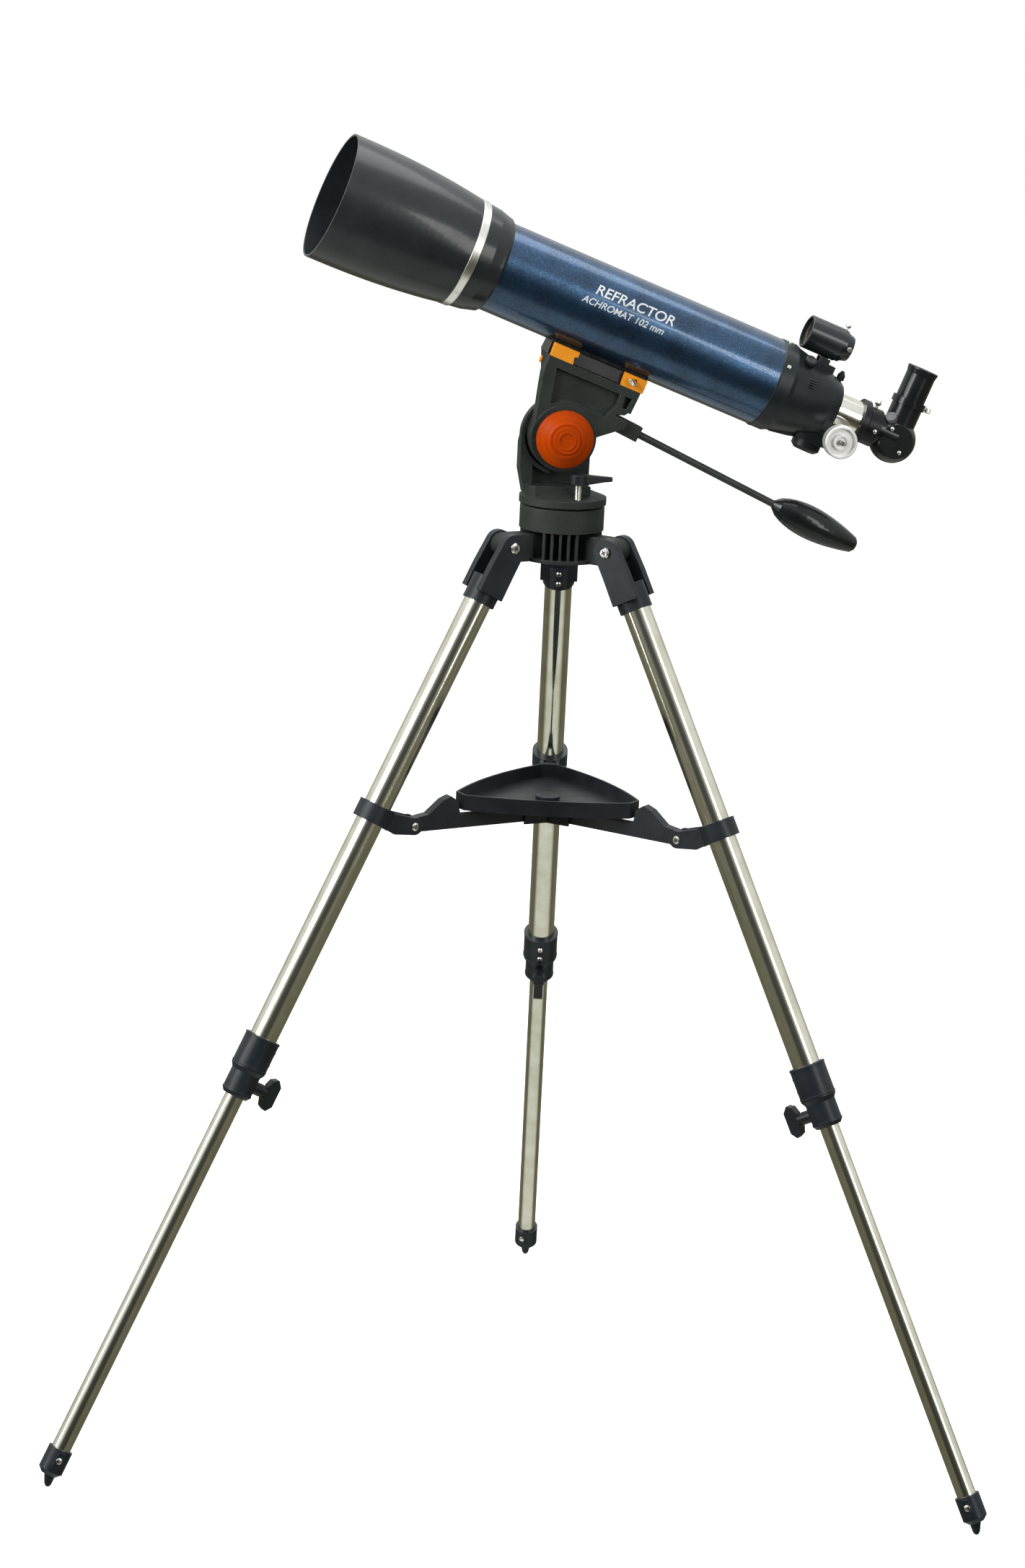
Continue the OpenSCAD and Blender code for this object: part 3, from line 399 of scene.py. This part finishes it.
def add_solid(name, work, base, body, slot, material=None, bevel=0.0):
    """Turns the faces of a closed shape outwards and adds it as a piece."""
    bmesh.ops.recalc_face_normals(work, faces=work.faces)
    mesh = bpy.data.meshes.new(name)
    work.to_mesh(mesh)
    work.free()
    return add_piece(name, mesh, base, body, slot, material, bevel)


def turn_profile(work, profile, turns=TURNS, knurled=(), depth=0.0, ring=False):
    """Turns (radius, height) points about the Z axis. Rows named in knurled are cut with flutes."""
    rows = []
    for index, (radius, height) in enumerate(profile):
        row = []
        for step in range(turns):
            angle = 2 * math.pi * step / turns
            cut = index in knurled and step % FLUTE >= FLUTE // 2
            r = radius - depth if cut else radius
            row.append(work.verts.new((r * math.cos(angle), r * math.sin(angle), height)))
        rows.append(row)
    pairs = list(zip(rows, rows[1:]))
    if ring:
        pairs.append((rows[-1], rows[0]))
    for low, high in pairs:
        for i in range(turns):
            j = (i + 1) % turns
            work.faces.new((low[i], low[j], high[j], high[i]))
    if not ring:
        work.faces.new(reversed(rows[0]))
        work.faces.new(rows[-1])


def lathe(profile, **options):
    """A new shape turned from one profile."""
    work = bmesh.new()
    turn_profile(work, profile, **options)
    return work


def extrude_outline(work, outline, low, high, at=None):
    """A closed outline in X and Y, given a thickness from low to high."""
    at = at or Matrix.Identity(4)
    bottom = [work.verts.new(at @ Vector((x, y, low))) for x, y in outline]
    top = [work.verts.new(at @ Vector((x, y, high))) for x, y in outline]
    work.faces.new(reversed(bottom))
    work.faces.new(top)
    for i in range(len(outline)):
        j = (i + 1) % len(outline)
        work.faces.new((bottom[i], bottom[j], top[j], top[i]))


def threaded(radius, ends, grooves, tip, pitch, depth):
    """A threaded shank's profile. ends are its tip and root, grooves where its thread starts and stops."""
    low, high = ends
    profile = [(radius - tip, low), (radius, low + tip)]
    z, stop = grooves
    while z < stop:
        profile += [(radius, z), (radius - depth, z + pitch / 2)]
        z += pitch
    profile.append((radius, high))
    return profile


# ---- legs ----

BRACKET_SCREWS = (-48.0, -62.0)  # heights of the bracket's screws, mm from the hinge
CLAMP_SCREWS = (12.0, 27.0)  # how far the clamp's screws are below its top
HEAD_REACH = 3.0           # how far above and below a screw's height its head is looked for
LEG_CROSS = 1.5            # reach of the crosses on the leg's screws
EAR_CROSS = 2.2            # on its ear's
HINGE_CROSS = 2.9          # and on its hinge's
CROSS_WIDTH = 0.24         # half the width of a cross's arms, for a reach of 1
CROSS_SUNK = 0.3           # how deep a cross goes into its head
CROSS_PROUD = 0.06         # and how far it stands out of it
HINGE_FACE = 25.6          # from the leg's middle to the faces of its hinge's heads
ARM_TIP_R = 8.5            # radius of a spreader arm's outer end
EAR_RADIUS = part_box("brace_arm_back")[1][1] / MM - ARM_TIP_R
ARM_Z = JOINTS["arm_fold_back"]["pos_m"][2]
CLAMP_R = 20.5             # outer radius of the clamp
WAIST_R = 17.3             # and of its lower end
UPPER_LIPS = (1.6, 36.0)   # how far the clamp's upper lips are below its top
LOWER_LIP = 5.5            # and its lower lip above its bottom
PAD_R = 13.2               # from the foot's axis to its pad
PAD_DROP = 12.0            # from the foot's top down to the middle of its pad
PAD_HALF = (10.0, 5.2)     # half the pad's length and width
PAD_SUNK = 2.0             # how deep the pad goes into the foot
PAD_PROUD = 1.2            # and how far it stands out
PAD_SIDES = 32
PAD_CORNERS = 0.45         # 1 makes the pad an ellipse and 0 an oblong
RIVET_ANGLE = {"left": 78.0, "right": -78.0, "back": 156.0}  # round each leg, from its X axis


def cross_outline(reach, half):
    corner = [(reach, -half), (reach, half), (half, half)]
    points = []
    for quarter in range(4):
        turn = Matrix.Rotation(math.radians(90 * quarter), 2)
        points += [tuple(turn @ Vector(p)) for p in corner]
    return points


def add_recesses(name, base, body, spots):
    """Dark crosses on screw heads. Each spot is ((x, y, z) mm in base, axis, reach)."""
    work = bmesh.new()
    for spot, axis, reach in spots:
        across = (1, 0, 0) if axis[0] == 0 else (0, 0, 1)
        outline = cross_outline(reach, reach * CROSS_WIDTH)
        extrude_outline(work, outline, -CROSS_SUNK, CROSS_PROUD, place(spot, across, axis))
    add_solid(name, work, base, body, "fasteners", RECESS)


def screw_head(side, base, z):
    """The x of the head of the leg's screw at height z, in mm. The heads face the tripod's middle."""
    inverse = base.inverted()
    points = [inverse @ v.co / MM for v in frame["nodes"]["leg_screws_" + side].data.vertices]
    return min(p.x for p in points if abs(p.z - z) < HEAD_REACH)


def ear_spots(side, base):
    """The two heads of the screw that holds a spreader arm to the leg's ear."""
    outwards = Vector(JOINTS["leg_fold_" + side]["pos_m"]) * LEVEL
    ear = base.inverted() @ (outwards.normalized() * EAR_RADIUS * MM + Vector((0, 0, ARM_Z))) / MM
    face = extent("leg_screws_" + side, base)[1].y
    return [((ear.x, face * way, ear.z), (0, way, 0), EAR_CROSS) for way in BOTH_WAYS]


def add_leg_recesses(side, base):
    top = extent("leg_clamp_" + side, base)[1].z
    heights = (*BRACKET_SCREWS, *(top - drop for drop in CLAMP_SCREWS))
    spots = [((screw_head(side, base, z), 0, z), (-1, 0, 0), LEG_CROSS) for z in heights]
    add_recesses("leg_recesses_" + side, base, "leg_" + side, spots + ear_spots(side, base))
    spots = [((0, way * HINGE_FACE, 0), (0, way, 0), HINGE_CROSS) for way in BOTH_WAYS]
    add_recesses("hinge_recesses_" + side, base, "tripod", spots)


def add_clamp_lips(side, base):
    """Thin raised lips round the clamp: two on its upper part and one on its lower end."""
    low, high = extent("leg_clamp_" + side, base)
    work = bmesh.new()
    places = [(CLAMP_R, high.z - drop) for drop in UPPER_LIPS] + [(WAIST_R, low.z + LOWER_LIP)]
    for radius, z in places:
        inner = radius - 0.4
        outer = radius + 0.5
        lip = [(inner, z - 1.3), (outer, z - 0.9), (outer, z + 0.9), (inner, z + 1.3)]
        turn_profile(work, lip, ring=True)
    add_solid("clamp_lips_" + side, work, base, "leg_" + side, "bracket_plastic")


def soft_oblong(half_length, half_width):
    """An oblong with round corners, between an ellipse and a rectangle."""
    outline = []
    for step in range(PAD_SIDES):
        angle = 2 * math.pi * step / PAD_SIDES
        x, y = math.cos(angle), math.sin(angle)
        outline.append((math.copysign(abs(x) ** PAD_CORNERS, x) * half_length,
                        math.copysign(abs(y) ** PAD_CORNERS, y) * half_width))
    return outline


def add_foot_rivet(side, base):
    """A raised pad on the foot's cup, with a domed rivet through it."""
    top = extent("foot_" + side, base)[1].z
    turn = math.radians(RIVET_ANGLE[side])
    out = (math.cos(turn), math.sin(turn), 0)
    at = moved(base, out[0] * PAD_R, out[1] * PAD_R, top - PAD_DROP, out, (0, 0, 1))
    work = bmesh.new()
    extrude_outline(work, soft_oblong(*PAD_HALF), -PAD_SUNK, PAD_PROUD)
    add_solid("foot_pad_" + side, work, at, "lower_leg_" + side, "bracket_plastic", bevel=0.6)
    dome = [(3.4, 0.8), (3.7, 1.0), (3.5, 1.5), (2.7, 1.9), (1.5, 2.15), (0.5, 2.2)]
    add_solid("foot_rivet_" + side, lathe(dome), at, "lower_leg_" + side, "fasteners")


for leg_side, leg_base in LEGS.items():
    add_leg_recesses(leg_side, leg_base)
    add_clamp_lips(leg_side, leg_base)
    add_foot_rivet(leg_side, leg_base)


# ---- screws and knobs ----

HUB_R = 9.9                # radius of the azimuth knob's round hub, mm
HUB_STEPS = 40
WING_ROOT = 32.0           # how far round the hub the wing's root reaches each way, degrees
WING_START = 9.0           # from the screw's axis to where the wing starts to thin
KNOB_LOW = 0.4             # the knob's lower and upper faces, from the screw's root
KNOB_HIGH = 11.6
KNOB_MIDDLE = (KNOB_LOW + KNOB_HIGH) / 2
WING_LIFT = 0.6            # how far the wing's middle is above the knob's
WING_THICK = 0.86          # the wing's thickness at its root, for a knob 1 thick
WING_THINNING = 0.42       # and how much of that is gone at its tip
STUD_R = 4.0


def wing_outline(tip):
    """A round hub with one wing that narrows to its tip."""
    outline = []
    for step in range(HUB_STEPS + 1):
        angle = math.radians(WING_ROOT + (360.0 - 2 * WING_ROOT) * step / HUB_STEPS)
        outline.append((HUB_R * math.cos(angle), HUB_R * math.sin(angle)))
    edge = [(16.0, 4.4), (28.0, 3.6), (tip - 1.6, 2.8), (tip - 0.3, 1.6)]
    return outline + [(x, -y) for x, y in edge] + edge[::-1]


def thin_wing(work, tip):
    """Thins the wing evenly from its root to its tip."""
    for vertex in work.verts:
        if vertex.co.x > WING_START:
            share = (vertex.co.x - WING_START) / (tip - WING_START)
            height = (vertex.co.z - KNOB_MIDDLE) * (WING_THICK - WING_THINNING * share)
            vertex.co.z = KNOB_MIDDLE + WING_LIFT + height


def add_azimuth_lock():
    """A bright threaded stud under a black knob with one long tapering wing."""
    base = place(JOINTS["azimuth_lock_screw"]["pos_m"], SIDEWAYS.cross(Z_AXIS), Z_AXIS)
    low, high = extent("azimuth_lock", base)
    stud = threaded(STUD_R, (low.z, 0.6), (low.z + 1.0, -0.6), tip=0.6, pitch=0.9, depth=0.45)
    add_solid("azimuth_stud", lathe(stud), base, "azimuth_screw", "fasteners")
    work = bmesh.new()
    extrude_outline(work, wing_outline(high.x), KNOB_LOW, KNOB_HIGH)
    thin_wing(work, high.x)
    knob = add_solid("azimuth_wing", work, base, "azimuth_screw", "black_plastic", bevel=1.6)
    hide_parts("azimuth_lock")


def add_thumbscrew(name, joint, node, body, shank, head):
    """A thumbscrew with a fluted head. shank and head are (radius, start, end) along the screw, in mm."""
    radius, low, high = shank
    profile = threaded(radius, (low, high), (low + 0.8, high - 0.6), tip=0.5, pitch=0.6, depth=0.28)
    rim = len(profile) + 1
    big, start, end = head
    profile += [(big - 0.5, start), (big, start + 0.5), (big, end - 0.7), (big - 0.6, end)]
    profile += [(big * 0.45, end), (big * 0.40, end - 0.4)]
    work = lathe(profile, knurled=(rim, rim + 1), depth=0.35)
    screw = add_solid(name, work, joint_frame(joint, UP.cross(FORWARD)), body, "fasteners")
    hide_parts(node)


add_azimuth_lock()
add_thumbscrew("back_thumbscrew", "back_lock_screw", "drawtube_screw", "back_screw",
               shank=(2.0, -9.6, -0.6), head=(3.6, -0.6, 5.3))
add_thumbscrew("barrel_thumbscrew", "barrel_lock_screw", "eyepiece_screw", "barrel_screw",
               shank=(2.0, -3.6, 1.9), head=(3.6, 1.9, 7.8))
add_thumbscrew("cradle_thumbscrew", "cradle_lock_screw", "saddle_lock", "cradle_screw",
               shank=(3.0, -5.0, 3.0), head=(5.5, 3.0, 9.4))


# ---- finder ----

FINDER_LOW, FINDER_HIGH = extent("finder_tube", OPTIC)
FINDER_R = (FINDER_HIGH.y - FINDER_LOW.y) / 2
FINDER_X = FINDER_HIGH.x - FINDER_R
FINDER_WALL = 2.4          # from the finder's outside in to its bright ring, mm
CLAMP_KNOB_ANGLE = 36.0    # round the tube from its top, degrees
CLAMP_KNOB_R = 46.5        # from the tube's axis to the clamp knob
CLAMP_KNOB_BACK = 9.5      # from the finder's front end back to it


def add_finder_front():
    """The finder's bright inner ring, its window and the lip of its mouth."""
    base = moved(OPTIC, FINDER_X, 0, FINDER_HIGH.z)
    wall = FINDER_R - FINDER_WALL
    ring = [(wall, -9.0), (wall, -4.0), (FINDER_R - 5.6, -4.8), (FINDER_R - 6.4, -9.0)]
    brass = turned("finder_brass", (0.26, 0.24, 0.19), (0.16, 0.15, 0.12), 0.40, base)
    add_solid("finder_ring", lathe(ring, ring=True), base, "finder", "silver_trim", brass)
    rim = FINDER_R - 6.0
    glass = [(0.6, -7.0), (rim, -7.6), (rim, -8.4), (0.6, -8.0)]
    add_solid("finder_window", lathe(glass), base, "finder", "coated_glass")
    lip = [(wall, -0.1), (FINDER_R - 2.3, 0.5), (FINDER_R - 0.9, 0.5), (FINDER_R - 0.1, -0.9),
           (FINDER_R - 0.1, -2.0), (FINDER_R - 1.0, -2.6)]
    add_solid("finder_lip", lathe(lip, ring=True), base, "finder", "finder_black")


def add_finder_screws():
    """The finder's two adjusting screws, on its top and its side."""
    profile = [(1.2, -1.0), (1.2, 4.2), (2.6, 4.4), (3.0, 4.9), (3.0, 8.2), (2.5, 8.8), (1.0, 8.8)]
    reach = FINDER_R - 2.2
    for name, out, along in (("finder_screw_top", (1, 0, 0), 12.0), ("finder_screw_side", NEAR_SIDE, 7.0)):
        x = FINDER_X + out[0] * reach
        at = moved(OPTIC, x, out[1] * reach, FINDER_LOW.z + along, out, (0, 0, 1))
        work = lathe(profile, knurled=(3, 4), depth=0.3, turns=SMALL_TURNS)
        add_solid(name, work, at, "finder", "fasteners")


def add_finder_clamp_knob():
    turn = math.radians(CLAMP_KNOB_ANGLE)
    out = (math.cos(turn), -math.sin(turn), 0)
    x, y = out[0] * CLAMP_KNOB_R, out[1] * CLAMP_KNOB_R
    at = moved(OPTIC, x, y, FINDER_HIGH.z - CLAMP_KNOB_BACK, out, (0, 0, 1))
    profile = [(3.0, -3.0), (3.0, 1.6), (6.6, 1.8), (7.4, 2.6), (7.4, 7.6), (6.6, 8.6), (4.6, 8.9),
               (4.2, 8.3), (0.8, 8.2)]
    work = lathe(profile, knurled=(3, 4), depth=0.5)
    add_solid("finder_clamp_knob", work, at, "optical_tube", "black_plastic")


add_finder_front()
add_finder_screws()
add_finder_clamp_knob()


# ---- focuser and diagonal ----

RIB_ANGLE = 60.0           # round the housing from its top to the first rib, degrees
RIB_STEP = 3.4             # from one rib to the next, degrees
RIB_R = 46.4               # from the optical axis to the ribs, mm
RIB_LEAN = 0.26            # how far their outward axis leans forwards, which lifts their rear ends
DOME = [(2.4, -0.6), (2.5, 0.3), (2.2, 0.9), (1.4, 1.3), (0.4, 1.4)]


def add_housing_ribs():
    """Four short raised ribs on the near side of the focuser's housing."""
    front = extent("focuser_housing", OPTIC)[1].z
    rib = [(-9.0, -0.6), (9.0, -0.6), (9.0, 0.6), (-9.0, 0.6)]
    work = bmesh.new()
    for row in range(4):
        turn = math.radians(RIB_ANGLE + RIB_STEP * row)
        x, y = math.cos(turn), -math.sin(turn)
        at = place((x * RIB_R, y * RIB_R, front - 36.0), (0, 0, 1), (x, y, RIB_LEAN))
        extrude_outline(work, rib, -1.5, 0.9, at)
    add_solid("housing_ribs", work, OPTIC, "optical_tube", "housing_plastic", bevel=0.25)


def add_pinion_collar():
    """A knurled ring round the pinion's shaft, between the optical axis and the near focusing knob."""
    shaft = place(JOINTS["pinion_turn"]["pos_m"], UP, FORWARD)
    profile = [(10.5, -0.5), (11.6, 0.2), (11.6, 6.0), (10.6, 6.8), (6.0, 6.8), (5.6, 6.0)]
    work = lathe(profile, knurled=(1, 2), depth=0.6)
    at = moved(shaft, 0, -19.0, 0, NEAR_SIDE, (0, 0, 1))
    add_solid("pinion_collar", work, at, "optical_tube", "fasteners")


def add_diagonal_trim():
    """Two domed screws and a round boss on the diagonal's near side, and a screw on the visual back."""
    near = extent("diagonal_body", OPTIC)[0].y
    low, high = extent("eyepiece", OPTIC)
    middle = (low.z + high.z) / 2
    for name, x, along in (("diagonal_screw_a", 8.0, 11.0), ("diagonal_screw_b", -14.0, -8.0)):
        at = moved(OPTIC, x, near, middle + along, NEAR_SIDE, (0, 0, 1))
        add_solid(name, lathe(DOME), at, "diagonal", "fasteners")
    boss = [(6.8, -6.0), (6.8, 1.0), (6.2, 1.8), (4.4, 1.9), (4.0, 1.4), (0.6, 1.4)]
    grey = painted("boss_grey", (0.10, 0.10, 0.11), (0.15, 0.15, 0.16), 0.4)
    at = moved(OPTIC, 19.5, -12.5, middle + 15.5, (0.55, -0.55, 0.62), (0, 0, 1))
    add_solid("diagonal_boss", lathe(boss), at, "diagonal", "gloss_black", grey)
    low, high = extent("visual_back", OPTIC)
    at = moved(OPTIC, -2.6, -(high.y - 4.6), low.z + 5.5, NEAR_SIDE, (0, 0, 1))
    add_solid("back_screw_dome", lathe(DOME), at, "focuser", "fasteners")


add_housing_ribs()
add_pinion_collar()
add_diagonal_trim()


# ---- lettering ----

# Each line's words, the size of its letters, its start along the tube and its place round it, in degrees.
MARK_LINES = (("REFRACTOR", 17.5, 40.0, -70.0), ("ACHROMAT 102 mm", 11.0, 51.0, -85.0))
MARK_LIFT = 0.05           # how far the ink stands off the tube, mm
SLANT = 0.22
STROKE = 0.012             # how much the strokes are thickened, for letters 1 high
LINE_BOTTOM = -5.0         # the cuts that let a line bend start below its letters
LINE_CUTS = 24             # 1 mm apart


def flat_words(words, size):
    """A line of letters in the XY plane, cut across so that it can bend round the tube."""
    curve = bpy.data.curves.new("mark_" + words[:3], "FONT")
    curve.body = words
    curve.size = size
    curve.shear = SLANT
    curve.offset = STROKE * size
    holder = bpy.data.objects.new("mark_holder", curve)
    bpy.context.scene.collection.objects.link(holder)
    bpy.context.view_layer.update()
    flat = bpy.data.meshes.new_from_object(holder.evaluated_get(bpy.context.evaluated_depsgraph_get()))
    bpy.data.objects.remove(holder)
    bpy.data.curves.remove(curve)
    line = bmesh.new()
    line.from_mesh(flat)
    bpy.data.meshes.remove(flat)
    for step in range(LINE_CUTS):
        geometry = line.verts[:] + line.edges[:] + line.faces[:]
        spot = (0, LINE_BOTTOM + step, 0)
        bmesh.ops.bisect_plane(line, geom=geometry, plane_co=spot, plane_no=(0, 1, 0))
    return line


def wrap_on_tube(line, radius, along, around):
    """Wraps flat letters round the tube, in mm: they start at along and sit around degrees round it."""
    for vertex in line.verts:
        turn = math.radians(around) + vertex.co.y / radius + math.pi / 2
        vertex.co = Vector((radius * math.sin(turn), -radius * math.cos(turn), along - vertex.co.x))


def add_mark():
    """Generic lettering on the near side of the tube: what the instrument is and how wide its lens is."""
    radius = extent("tube", OPTIC)[1].x + MARK_LIFT
    work = bmesh.new()
    for words, size, along, around in MARK_LINES:
        line = flat_words(words, size)
        wrap_on_tube(line, radius, along, around)
        wrapped = bpy.data.meshes.new("mark_line")
        line.to_mesh(wrapped)
        line.free()
        work.from_mesh(wrapped)
        bpy.data.meshes.remove(wrapped)
    mesh = bpy.data.meshes.new("tube_mark")
    work.to_mesh(mesh)
    work.free()
    ink = painted("pale_ink", (0.62, 0.66, 0.70), (0.80, 0.82, 0.84), 0.45, edge=0.0001, wear_and_edge_light=0.0)
    add_piece("tube_mark", mesh, OPTIC, "optical_tube", "silver_trim", ink)


add_mark()


# ---- camera, light and floor ----

WHITE = (1.0, 1.0, 1.0, 1.0)
CAMERA_AT = (4.55, -5385.4, 2006.8)  # mm
CAMERA_TURN = (0.4846, -12.981, 2.783)  # yaw, pitch and roll, degrees
LENS = 110.70              # mm
SENSOR = 36.0              # mm, along the picture's longer side
FAR = 60.0                 # m, the farthest that the camera sees
SKY = (                    # what metal reflects, from straight below to straight above
    (0.0, (0.80, 0.82, 0.76)),
    (0.105, (0.74, 0.75, 0.69)),
    (0.17, (0.15, 0.145, 0.10)),
    (0.44, (0.19, 0.18, 0.13)),
    (0.52, (0.55, 0.56, 0.50)),
    (0.68, (0.92, 0.93, 0.91)),
    (1.0, (1.0, 1.0, 1.0)),
)
DARK_FROM = -0.72          # how far forward, in -Y, the studio starts to darken
DARK_AT = -0.94            # and where it is darkest
DARKEST = 0.10
DIFFUSE_SHARE = 0.42       # the studio's strength for diffuse light
FLOOR_R = 14.0             # m


def make_camera():
    yaw, pitch, roll = (math.radians(a) for a in CAMERA_TURN)
    ahead = Vector((-math.sin(yaw) * math.cos(pitch), math.cos(yaw) * math.cos(pitch), math.sin(pitch)))
    level = Vector((math.cos(yaw), math.sin(yaw), 0))
    above = level.cross(ahead)
    right = level * math.cos(roll) + above * math.sin(roll)
    up = above * math.cos(roll) - level * math.sin(roll)
    data = bpy.data.cameras.new("camera")
    data.lens = LENS
    data.sensor_width = SENSOR
    data.sensor_fit = "AUTO"
    data.clip_end = FAR
    camera = bpy.data.objects.new("camera", data)
    matrix = Matrix((right, up, -ahead)).transposed().to_4x4()
    matrix.translation = Vector(CAMERA_AT) * MM
    camera.matrix_world = matrix
    bpy.context.scene.collection.objects.link(camera)
    bpy.context.scene.camera = camera


def make_area(name, at, towards, size, power, tint=(1.0, 1.0, 1.0)):
    data = bpy.data.lights.new(name, "AREA")
    data.shape = "RECTANGLE"
    data.size, data.size_y = size
    data.energy = power
    data.color = tint
    light = bpy.data.objects.new(name, data)
    light.location = at
    light.rotation_mode = "QUATERNION"
    light.rotation_quaternion = (Vector(towards) - Vector(at)).to_track_quat("-Z", "Y")
    bpy.context.scene.collection.objects.link(light)


def sky_tint(nodes, height):
    """The studio's colour at a height from 0, straight below, to 1, straight above."""
    rise = nodes.add("ValToRGB")
    for at, tint in SKY[1:-1]:
        rise.color_ramp.elements.new(at)
    for element, (at, tint) in zip(rise.color_ramp.elements, SKY):
        element.position = at
        element.color = (*tint, 1.0)
    nodes.put(rise.inputs[0], height)
    return rise.outputs[0]


def make_world():
    """White to the eye. In reflections it is a studio: pale above and straight below, dark olive between,
    darker in front, and weaker for diffuse light."""
    world = bpy.data.worlds.new("studio")
    world.use_nodes = True
    bpy.context.scene.world = world
    nodes = Nodes(world.node_tree)
    nodes.tree.nodes.clear()
    parts = nodes.add("SeparateXYZ", Vector=nodes.add("TexCoord").outputs["Generated"]).outputs
    tint = sky_tint(nodes, nodes.remap(parts["Z"], -1.0, 1.0))
    front = nodes.remap(parts["Y"], DARK_FROM, DARK_AT, 1.0, DARKEST)
    ray = nodes.add("LightPath").outputs
    strength = nodes.remap(ray["Is Diffuse Ray"], 0.0, 1.0, 1.0, DIFFUSE_SHARE)
    studio = nodes.add("Background", Color=nodes.mix(1.0, tint, front, "MULTIPLY"), Strength=strength)
    plain = nodes.add("Background", Color=WHITE)
    both = nodes.add("MixShader")
    for target, source in zip(both.inputs, (ray["Is Camera Ray"], studio.outputs[0], plain.outputs[0])):
        nodes.put(target, source)
    nodes.add("OutputWorld", Surface=both.outputs[0])


def make_floor():
    f = Finish("pale_floor")
    f.set(
        Base_Color=f.mix(f.cloud(1.3, 4.0, 0.3, 0.7), (0.86, 0.86, 0.85), (0.90, 0.90, 0.89)),
        Roughness=0.9,
        Specular_IOR_Level=0.1,
        Emission_Color=WHITE,
        Emission_Strength=0.75,
        Normal=f.bump(f.noise(220.0, 2.0), 0.0001),
    )
    mesh = bpy.data.meshes.new("floor")
    work = bmesh.new()
    bmesh.ops.create_circle(work, cap_ends=True, segments=64, radius=FLOOR_R)
    work.to_mesh(mesh)
    work.free()
    floor = bpy.data.objects.new("floor", mesh)
    mesh.materials.append(f.material)
    bpy.context.scene.collection.objects.link(floor)
    floor.visible_glossy = False
    floor.visible_diffuse = False


make_camera()
make_world()
make_floor()
make_area("key", at=(-2.6, -2.6, 3.4), towards=(0.0, 0.0, 1.0), size=(1.6, 2.2), power=125.0)
make_area("strip_left", at=(-2.9, -1.3, 1.3), towards=(0.0, 0.0, 0.8), size=(0.5, 2.4), power=34.0)
make_area("fill_right", at=(2.8, -2.9, 1.8), towards=(0.0, 0.0, 0.9), size=(0.8, 2.4), power=42.0,
          tint=(1.0, 0.99, 0.96))
make_area("top", at=(0.3, 0.6, 4.2), towards=(0.0, 0.0, 1.0), size=(3.0, 3.0), power=90.0)
bpy.context.scene.view_settings.view_transform = "Standard"
